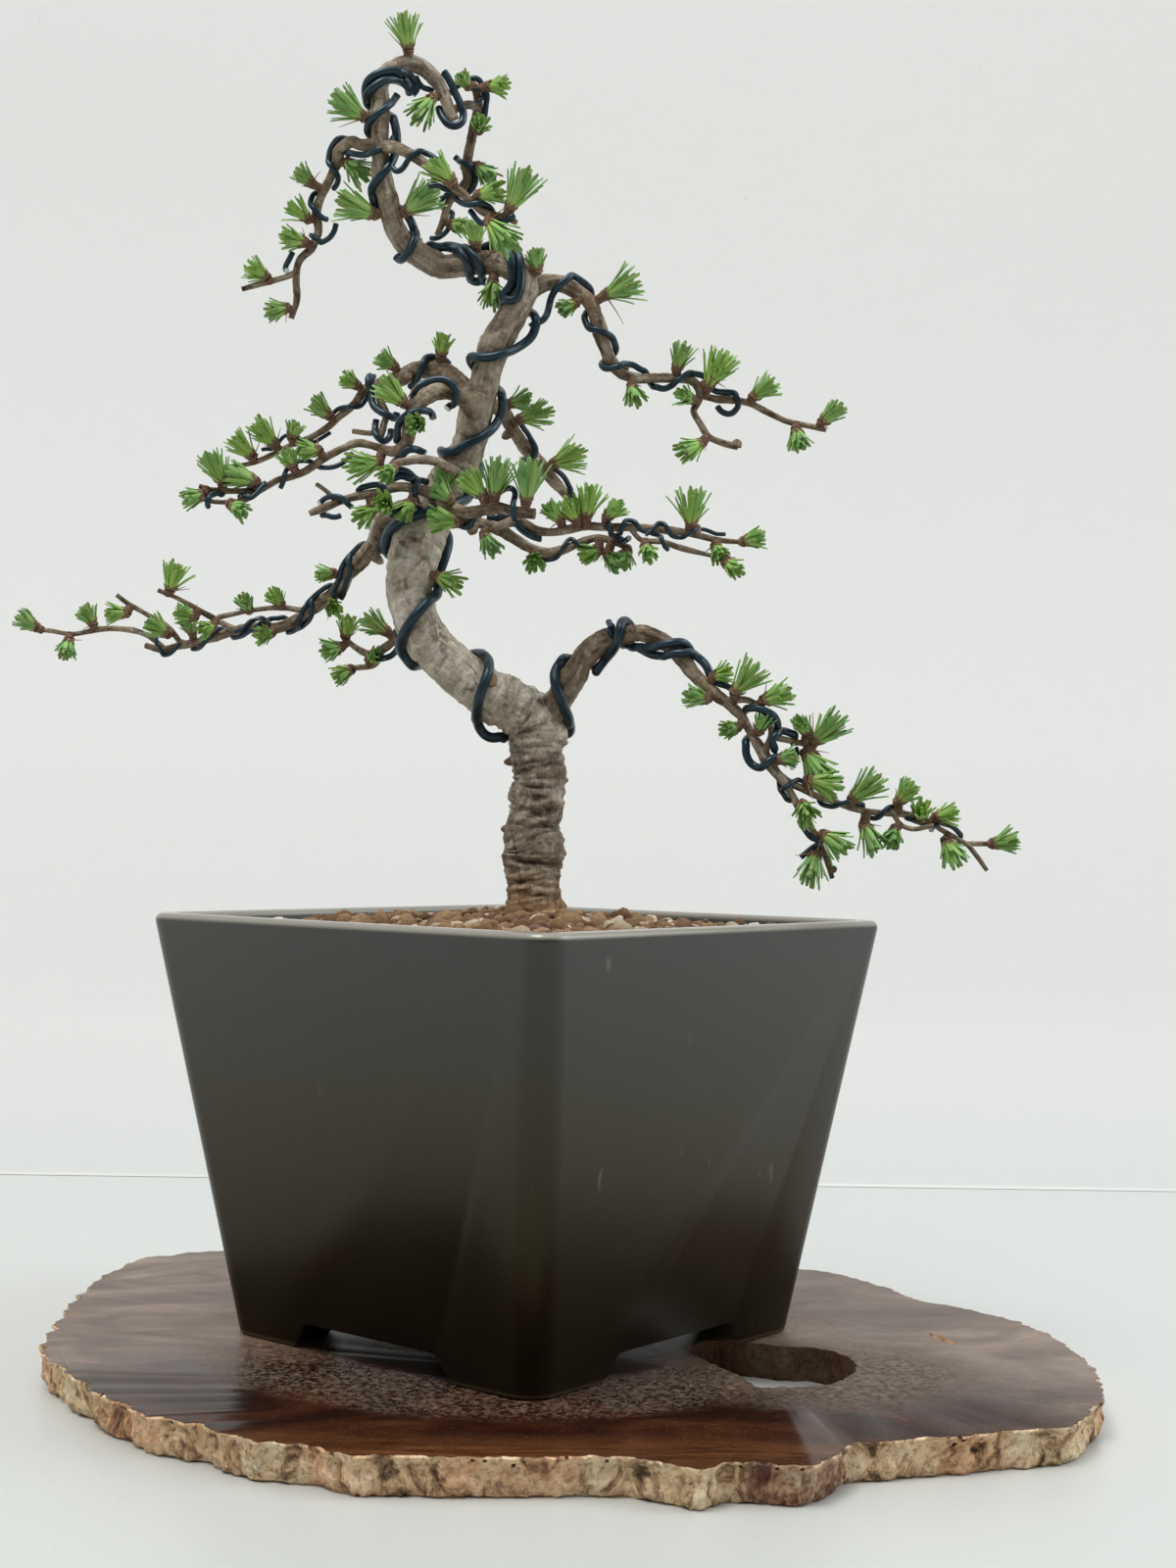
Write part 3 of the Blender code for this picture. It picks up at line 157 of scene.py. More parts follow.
# Stage: the floor is flat as far as FLOOR_FLAT and curves up from there; a table's far edge shows as a
# painted shade line
FLOOR_FLAT = 1.5
FLOOR_CURVE = 1.3
STAGE_TOP = 2.9
STAGE_SIDES = 96
SEAM_BACK = 0.385
SEAM_WIDE = 0.010
SEAM_HALF = 1.6
SEAM_UP = 0.0002

# Wood: each point is (pixel across, pixel down, millimetres towards the viewer, width in pixels)
TRUNK = (
    (546, 985, 0, 60), (545, 930, 0, 56), (544, 890, 0, 55), (545, 868, 0, 61), (543, 846, 0, 55),
    (548, 823, 0, 53), (551, 796, 0, 52), (547, 765, 0, 55), (546, 738, 0, 58), (525, 722, 1, 53),
    (495, 706, 3, 49), (468, 685, 4, 47), (445, 664, 5, 46), (428, 640, 6, 46), (419, 612, 6, 46),
    (419, 585, 5, 49), (426, 556, 3, 53), (437, 530, 0, 48), (449, 507, -2, 42), (462, 485, -3, 38),
    (476, 460, -3, 35), (484, 435, -2, 33), (490, 408, 0, 31), (498, 375, 2, 30), (511, 342, 3, 30),
    (528, 314, 3, 29), (535, 291, 2, 28), (526, 275, 1, 26), (504, 268, -1, 25), (479, 269, -3, 24),
    (453, 272, -4, 24), (432, 264, -4, 23), (412, 247, -3, 22), (402, 228, -1, 21), (396, 204, 1, 20),
    (391, 179, 3, 19), (388, 153, 4, 18), (388, 128, 4, 18), (388, 107, 3, 18), (387, 89, 2, 18),
    (393, 76, 1, 17), (407, 67, 0, 16), (421, 64, -2, 15), (438, 74, -3, 15), (450, 90, -3, 14),
    (458, 110, -2, 12), (463, 122, -2, 10),
)
LOW_RIGHT = (
    (
        (546, 748, 0, 40), (562, 727, 2, 33), (580, 698, 6, 27), (599, 669, 10, 24), (616, 654, 13, 22),
        (638, 648, 16, 19), (658, 647, 19, 18), (679, 656, 22, 17), (695, 671, 24, 16), (711, 690, 27, 14),
        (727, 706, 29, 13), (743, 718, 31, 12), (757, 732, 33, 10), (766, 748, 34, 9), (776, 765, 35, 12),
        (786, 781, 36, 12), (798, 795, 36, 10), (808, 811, 36, 8), (819, 832, 35, 7), (831, 850, 34, 7),
        (842, 873, 32, 6), (849, 896, 30, 5),
    ),
    (
        (740, 716, 31, 9), (752, 714, 33, 8), (767, 716, 35, 7), (781, 729, 37, 7), (787, 749, 37, 7),
        (780, 768, 36, 8),
    ),
    (
        (790, 786, 36, 9), (803, 797, 35, 8), (817, 804, 34, 8), (833, 812, 32, 7), (854, 819, 30, 7),
        (875, 826, 28, 7), (894, 829, 26, 7), (913, 830, 24, 7), (932, 832, 22, 6), (948, 838, 20, 6),
        (961, 847, 19, 6), (976, 855, 18, 5), (988, 863, 17, 5), (997, 874, 16, 5), (1007, 888, 15, 5),
    ),
    ((911, 830, 24, 5), (920, 842, 27, 5), (934, 846, 29, 5), (953, 842, 30, 5)),
    ((984, 861, 17, 5), (999, 861, 15, 5), (1011, 861, 13, 5)),
    ((786, 752, 37, 6), (797, 754, 34, 6), (811, 757, 31, 6), (826, 762, 29, 5), (842, 779, 28, 5)),
)
LOW_LEFT = (
    (
        (440, 524, 0, 26), (422, 520, 0, 23), (406, 522, -3, 21), (391, 532, -7, 19), (384, 551, -11, 18),
        (371, 569, -15, 17), (355, 585, -19, 16), (346, 601, -22, 15), (330, 613, -25, 13),
        (313, 626, -29, 12), (295, 636, -32, 12), (279, 641, -35, 11), (257, 641, -38, 10),
        (241, 643, -40, 9), (220, 650, -43, 9), (198, 656, -45, 8), (182, 659, -47, 8), (166, 663, -48, 7),
        (149, 659, -50, 6),
    ),
    (
        (168, 662, -48, 6), (150, 648, -50, 6), (129, 642, -53, 6), (102, 642, -56, 6), (75, 647, -58, 5),
        (54, 644, -60, 5), (43, 643, -61, 5),
    ),
    ((240, 643, -40, 7), (209, 626, -36, 6), (182, 611, -33, 5), (161, 602, -31, 5)),
    ((186, 658, -46, 6), (171, 640, -43, 6), (150, 627, -41, 5), (131, 616, -39, 5), (119, 607, -38, 5)),
    ((316, 624, -28, 7), (303, 622, -26, 6), (284, 620, -24, 6), (257, 623, -21, 5), (222, 630, -18, 5)),
)
SMALL_LEFT = (
    (
        (428, 642, 0, 12), (411, 645, -8, 10), (397, 658, -14, 9), (380, 667, -20, 8), (368, 664, -26, 7),
        (356, 655, -30, 6), (348, 642, -33, 5),
    ),
    ((391, 662, -16, 6), (383, 678, -18, 6), (367, 681, -22, 6), (357, 682, -25, 5)),
)
UPPER_LEFT = (
    (
        (488, 412, 0, 22), (478, 400, -3, 21), (467, 389, -6, 20), (454, 380, -8, 20), (437, 377, -9, 19),
        (423, 379, -10, 18), (410, 385, -11, 17), (396, 391, -12, 14), (383, 392, -13, 11),
        (371, 400, -14, 9), (362, 412, -15, 8), (346, 425, -16, 8), (333, 437, -17, 7), (314, 448, -18, 7),
        (295, 455, -19, 6), (276, 465, -20, 6), (256, 473, -21, 5), (228, 477, -22, 5),
    ),
    ((389, 389, -12, 9), (388, 408, -11, 9), (394, 423, -10, 8), (391, 435, -9, 8), (388, 447, -8, 7)),
    ((390, 440, -9, 6), (377, 442, -10, 6), (360, 440, -12, 5)),
)
FRONT_LEFT = (
    (
        (487, 428, 0, 16), (477, 414, 9, 16), (462, 401, 14, 16), (441, 401, 17, 17), (426, 414, 19, 16),
        (418, 434, 20, 15), (415, 452, 19, 13), (402, 461, 18, 11), (384, 456, 17, 9), (366, 452, 17, 8),
        (352, 457, 17, 8), (333, 466, 19, 8), (314, 479, 20, 8), (299, 486, 21, 7), (283, 490, 22, 7),
        (266, 499, 23, 7), (245, 501, 24, 6), (218, 500, 25, 6), (203, 496, 26, 5),
    ),
    ((270, 498, 23, 6), (247, 511, 26, 6), (218, 512, 28, 5), (203, 508, 29, 5)),
)
CROOKED = (
    (
        (468, 484, 0, 12), (458, 478, 14, 11), (445, 471, 23, 10), (427, 469, 28, 10), (412, 471, 29, 9),
        (400, 474, 29, 8),
    ),
)
MIDDLE_LEFT = (
    (
        (450, 508, 0, 16), (438, 503, 9, 13), (425, 499, 13, 11), (406, 497, 16, 10), (387, 502, 18, 9),
        (367, 506, 20, 9), (348, 511, 21, 8), (329, 519, 22, 8), (316, 524, 23, 7),
    ),
    ((344, 512, 21, 6), (333, 501, 19, 5), (323, 494, 18, 5)),
)
MIDDLE_RIGHT = (
    (
        (444, 514, 2, 16), (459, 517, 14, 14), (473, 523, 22, 12), (487, 522, 28, 12), (506, 518, 31, 12),
        (525, 522, 33, 12), (546, 525, 34, 11),
    ),
    (
        (466, 521, 18, 12), (480, 530, 18, 12), (495, 535, 17, 12), (510, 541, 17, 12), (525, 550, 17, 12),
        (541, 559, 18, 11), (558, 564, 18, 11), (577, 560, 18, 10), (596, 552, 18, 9), (612, 549, 18, 8),
        (630, 554, 18, 7), (642, 560, 18, 6),
    ),
    (
        (505, 539, 17, 11), (520, 533, 22, 10), (533, 534, 26, 10), (546, 541, 28, 10), (564, 543, 28, 9),
        (581, 540, 27, 9), (598, 537, 26, 9), (619, 538, 25, 9), (644, 538, 24, 8), (671, 540, 22, 8),
        (691, 542, 21, 8), (711, 546, 20, 7), (732, 551, 18, 6), (757, 553, 16, 5),
    ),
    (
        (644, 540, 24, 6), (655, 551, 25, 6), (676, 553, 25, 6), (691, 558, 24, 6), (705, 562, 23, 6),
        (722, 566, 22, 5), (737, 570, 21, 5), (750, 571, 20, 5),
    ),
)
BACK_RIGHT = (
    (
        (489, 414, 0, 18), (502, 413, -14, 16), (514, 421, -22, 15), (522, 436, -28, 14),
        (533, 453, -34, 14), (548, 470, -40, 13), (562, 487, -46, 12), (575, 502, -52, 10),
        (589, 516, -58, 8),
    ),
)
UPPER_RIGHT = (
    (
        (532, 300, 1, 22), (550, 291, 0, 19), (568, 288, -1, 17), (586, 296, -2, 16), (601, 309, -3, 15),
        (609, 327, -4, 15), (616, 351, -5, 14), (624, 370, -6, 13), (634, 381, -7, 12), (650, 386, -8, 11),
        (667, 386, -9, 10), (685, 386, -10, 9), (705, 389, -11, 9), (713, 397, -12, 9), (713, 408, -12, 8),
        (708, 420, -11, 7), (715, 433, -10, 7), (724, 446, -9, 7), (738, 452, -9, 7), (753, 456, -8, 7),
    ),
    (
        (711, 402, -12, 8), (730, 407, -13, 8), (745, 408, -13, 8), (763, 411, -14, 7), (782, 420, -14, 7),
        (803, 430, -15, 6), (822, 434, -15, 6), (843, 439, -15, 5),
    ),
)
TOP_LEFT = (
    (
        (390, 151, 4, 14), (378, 148, 5, 13), (369, 148, 4, 12), (358, 145, 1, 12), (347, 153, -3, 12),
        (343, 168, -6, 11), (336, 184, -8, 10), (328, 199, -11, 10), (323, 217, -12, 10),
        (325, 237, -13, 9), (318, 253, -14, 9), (306, 265, -15, 8), (302, 283, -16, 8), (303, 306, -17, 7),
        (297, 325, -18, 6),
    ),
    ((303, 277, -16, 6), (291, 283, -17, 6), (268, 289, -19, 6), (247, 295, -20, 5)),
)
TOP_RIGHT = (
    (
        (388, 150, 4, 13), (404, 151, 11, 12), (425, 161, 14, 11), (444, 176, 16, 10), (463, 191, 17, 9),
        (479, 204, 18, 9), (495, 217, 19, 8), (516, 222, 20, 7), (527, 227, 21, 6),
    ),
)
DESCENDING = (
    (
        (484, 87, -8, 8), (488, 106, -10, 9), (483, 133, -12, 10), (479, 153, -13, 10), (476, 172, -14, 10),
        (477, 184, -15, 10), (468, 195, -15, 10), (458, 206, -15, 9), (453, 224, -15, 8),
        (446, 240, -15, 6),
    ),
    ((459, 113, -2, 10), (468, 110, -6, 9), (478, 107, -9, 9), (488, 109, -10, 8)),
)

# Tufts: (pixels of the needles' base, pixels of their tips, size)
BRANCHES = {
    "branch_low_right": (
        LOW_RIGHT,
        (
            (729, 690, 746, 685, 0.8), (749, 710, 773, 683, 1.1), (725, 712, 702, 708, 1.0),
            (777, 716, 805, 708, 1.0), (752, 742, 736, 747, 0.8), (773, 748, 778, 731, 0.8),
            (824, 747, 812, 735, 0.8), (831, 757, 857, 731, 1.2), (792, 776, 810, 772, 0.8),
            (821, 768, 844, 802, 1.1), (825, 796, 857, 803, 1.0), (817, 820, 808, 843, 0.9),
            (837, 852, 860, 870, 1.1), (832, 871, 823, 903, 1.1), (869, 815, 898, 792, 1.1),
            (882, 842, 894, 870, 1.1), (917, 818, 932, 799, 1.0), (940, 836, 944, 814, 0.9),
            (913, 846, 907, 863, 0.9), (953, 835, 974, 830, 0.9), (965, 857, 975, 883, 1.1),
            (1011, 861, 1036, 857, 1.0),
        ),
    ),
    "branch_low_left": (
        LOW_LEFT,
        (
            (41, 642, 20, 630, 0.9), (71, 650, 67, 671, 0.9), (96, 640, 86, 621, 0.9),
            (129, 625, 107, 627, 1.0), (172, 604, 183, 576, 1.0), (174, 647, 153, 633, 0.9),
            (196, 645, 189, 628, 0.8), (198, 630, 178, 623, 0.9), (217, 639, 204, 646, 0.8),
            (254, 623, 249, 610, 0.8), (287, 616, 279, 606, 0.7), (279, 645, 265, 650, 0.8),
            (341, 584, 323, 586, 0.8), (339, 616, 344, 625, 0.8),
        ),
    ),
    "branch_small_left": (
        SMALL_LEFT,
        (
            (394, 644, 370, 631, 1.2), (348, 660, 327, 667, 1.0), (359, 682, 341, 692, 0.9),
            (376, 674, 392, 684, 0.8), (352, 650, 358, 630, 0.9),
        ),
    ),
    "branch_upper_left": (
        UPPER_LEFT,
        (
            (450, 366, 454, 344, 0.8), (406, 377, 388, 367, 0.8), (366, 394, 349, 387, 0.8),
            (339, 427, 320, 412, 0.9), (281, 454, 259, 431, 1.1), (259, 469, 238, 448, 1.1),
            (298, 450, 305, 434, 0.7),
        ),
    ),
    "branch_front_left": (
        FRONT_LEFT,
        (
            (428, 432, 424, 436, 1.0), (412, 412, 386, 390, 1.1), (327, 460, 305, 461, 0.8),
            (262, 492, 230, 485, 1.2), (228, 493, 214, 463, 1.2), (210, 502, 190, 510, 0.9),
            (235, 513, 251, 523, 0.8), (386, 472, 361, 449, 1.3), (300, 478, 290, 462, 0.8),
        ),
    ),
    "branch_crooked": (CROOKED, ((402, 476, 392, 488, 0.8),)),
    "branch_middle_left": (
        MIDDLE_LEFT,
        ((394, 513, 393, 517, 1.1), (380, 520, 359, 514, 1.0), (420, 512, 408, 530, 0.9)),
    ),
    "branch_middle_right": (
        MIDDLE_RIGHT,
        (
            (447, 510, 458, 483, 1.2), (493, 506, 473, 484, 1.1), (470, 532, 440, 530, 1.0),
            (504, 507, 510, 470, 1.2), (537, 512, 543, 465, 1.3), (493, 545, 504, 566, 0.9),
            (545, 568, 547, 579, 0.9), (611, 562, 592, 570, 0.9), (620, 566, 632, 580, 0.9),
            (572, 530, 556, 515, 0.9), (598, 527, 604, 497, 1.3), (588, 530, 577, 514, 1.0),
            (618, 528, 634, 514, 0.8), (640, 560, 636, 577, 0.8), (658, 557, 664, 572, 0.8),
            (757, 553, 778, 548, 0.9), (705, 535, 706, 499, 1.3), (730, 556, 735, 572, 0.8),
            (740, 573, 753, 585, 0.9), (462, 516, 445, 500, 0.9),
        ),
    ),
    "branch_back_right": (
        BACK_RIGHT,
        (
            (516, 414, 539, 410, 0.9), (529, 428, 563, 421, 1.1), (562, 474, 603, 461, 1.1),
            (589, 514, 600, 524, 0.8),
        ),
    ),
    "branch_upper_right": (
        UPPER_RIGHT,
        (
            (618, 301, 655, 288, 1.3), (589, 309, 572, 318, 0.8), (690, 378, 699, 352, 1.0),
            (644, 392, 650, 413, 0.9), (721, 397, 742, 355, 1.3), (707, 408, 692, 404, 0.8),
            (766, 408, 790, 394, 1.0), (837, 433, 858, 416, 1.0), (812, 436, 817, 459, 0.9),
            (716, 452, 691, 467, 1.1), (728, 388, 738, 372, 0.9),
        ),
    ),
    "branch_top_left": (
        TOP_LEFT,
        (
            (354, 166, 376, 185, 0.9), (318, 187, 301, 174, 0.9), (316, 225, 297, 209, 0.8),
            (315, 249, 290, 245, 1.0), (275, 286, 254, 273, 0.9), (294, 314, 273, 321, 0.9),
        ),
    ),
    "branch_top_right": (
        TOP_RIGHT,
        (
            (464, 190, 441, 169, 0.9), (486, 200, 513, 198, 0.9), (520, 213, 544, 171, 1.4),
            (498, 226, 524, 257, 1.3),
        ),
    ),
    "branch_descending": (
        DESCENDING,
        (
            (498, 88, 520, 91, 0.8), (478, 88, 470, 80, 0.6), (489, 133, 493, 128, 0.7),
            (488, 170, 506, 188, 0.9), (461, 229, 480, 236, 0.9),
        ),
    ),
}
TRUNK_TUFTS = (
    (417, 56, 413, 21, 1.2), (371, 119, 339, 101, 1.2), (382, 219, 340, 206, 1.3), (412, 218, 449, 194, 1.3),
    (441, 100, 423, 128, 1.0), (486, 256, 483, 232, 1.0), (503, 288, 504, 316, 0.9),
    (547, 282, 545, 261, 0.9), (446, 588, 472, 601, 0.8),
)

# Cut stubs, knots and dry spurs: (pixels of the tip, width in pixels)
STUBS = {
    "trunk": (
        (514, 778, 12), (511, 846, 13), (578, 871, 14), (580, 796, 12), (505, 690, 16),
        (425, 555, 14), (496, 258, 12), (430, 243, 10), (404, 555, 8),
    ),
    "branch_low_right": ((854, 886, 8), (690, 652, 9), (645, 636, 9)),
    "branch_low_left": ((391, 575, 10), (340, 600, 8)),
    "branch_upper_left": ((437, 365, 10), (420, 392, 10)),
    "branch_middle_right": ((480, 546, 11), (713, 535, 8)),
    "branch_back_right": ((512, 447, 9), (560, 474, 9)),
    "branch_upper_right": ((753, 448, 9), (640, 371, 9)),
    "branch_top_right": ((458, 168, 8), (440, 187, 8)),
    "branch_descending": ((470, 172, 8),),
}

# Rim of the slab's top face, as pixels; the stretch behind the pot is not seen and is given in metres
SLAB_RIM_PX = (
    (160, 1282), (139, 1289), (120, 1297), (91, 1317), (74, 1338), (58, 1358), (48, 1373), (70, 1394),
    (97, 1413), (135, 1432), (173, 1446), (211, 1451), (250, 1465), (288, 1469), (326, 1474), (364, 1482),
    (403, 1482), (479, 1484), (556, 1484), (636, 1484), (675, 1490), (713, 1497), (744, 1490), (790, 1492),
    (828, 1493), (851, 1482), (866, 1472), (904, 1469), (943, 1465), (981, 1463), (1019, 1459),
    (1057, 1457), (1096, 1451), (1111, 1436), (1122, 1424), (1115, 1405), (1104, 1388), (1069, 1363),
    (1038, 1350), (981, 1335), (935, 1327), (901, 1314), (841, 1298),
)
SLAB_BACK = (
    (0.086, 0.117), (0.052, 0.128), (0.016, 0.124), (-0.024, 0.135), (-0.066, 0.138), (-0.108, 0.133),
)
SLAB_HOLE_PX = (
    (702, 1377), (722, 1368), (767, 1370), (798, 1374), (830, 1375), (859, 1382), (874, 1393), (869, 1403),
    (851, 1411), (827, 1414), (804, 1415), (773, 1415), (758, 1406), (728, 1392),
)
SLAB_CRACK_PX = ((944, 1359), (958, 1363), (972, 1368), (979, 1371), (974, 1373), (962, 1369), (948, 1363))

# Single places in the picture: the trunk's foot, the top of its reddish bark, its first bend and its fork,
# then the middles of the slab's dull scar, of its hole, of its dark red wood and of the knot in its edge
TRUNK_FOOT_PX = (545, 930)
FOOT_TOP_PX = (545, 878)
KNEE_PX = (530, 735)
FORK_PX = (480, 540)
SLAB_SCAR_PX = (850, 1402)
HOLE_MIDDLE_PX = (800, 1395)
SLAB_RED_PX = (575, 1440)
SLAB_KNOT_PX = (800, 1500)

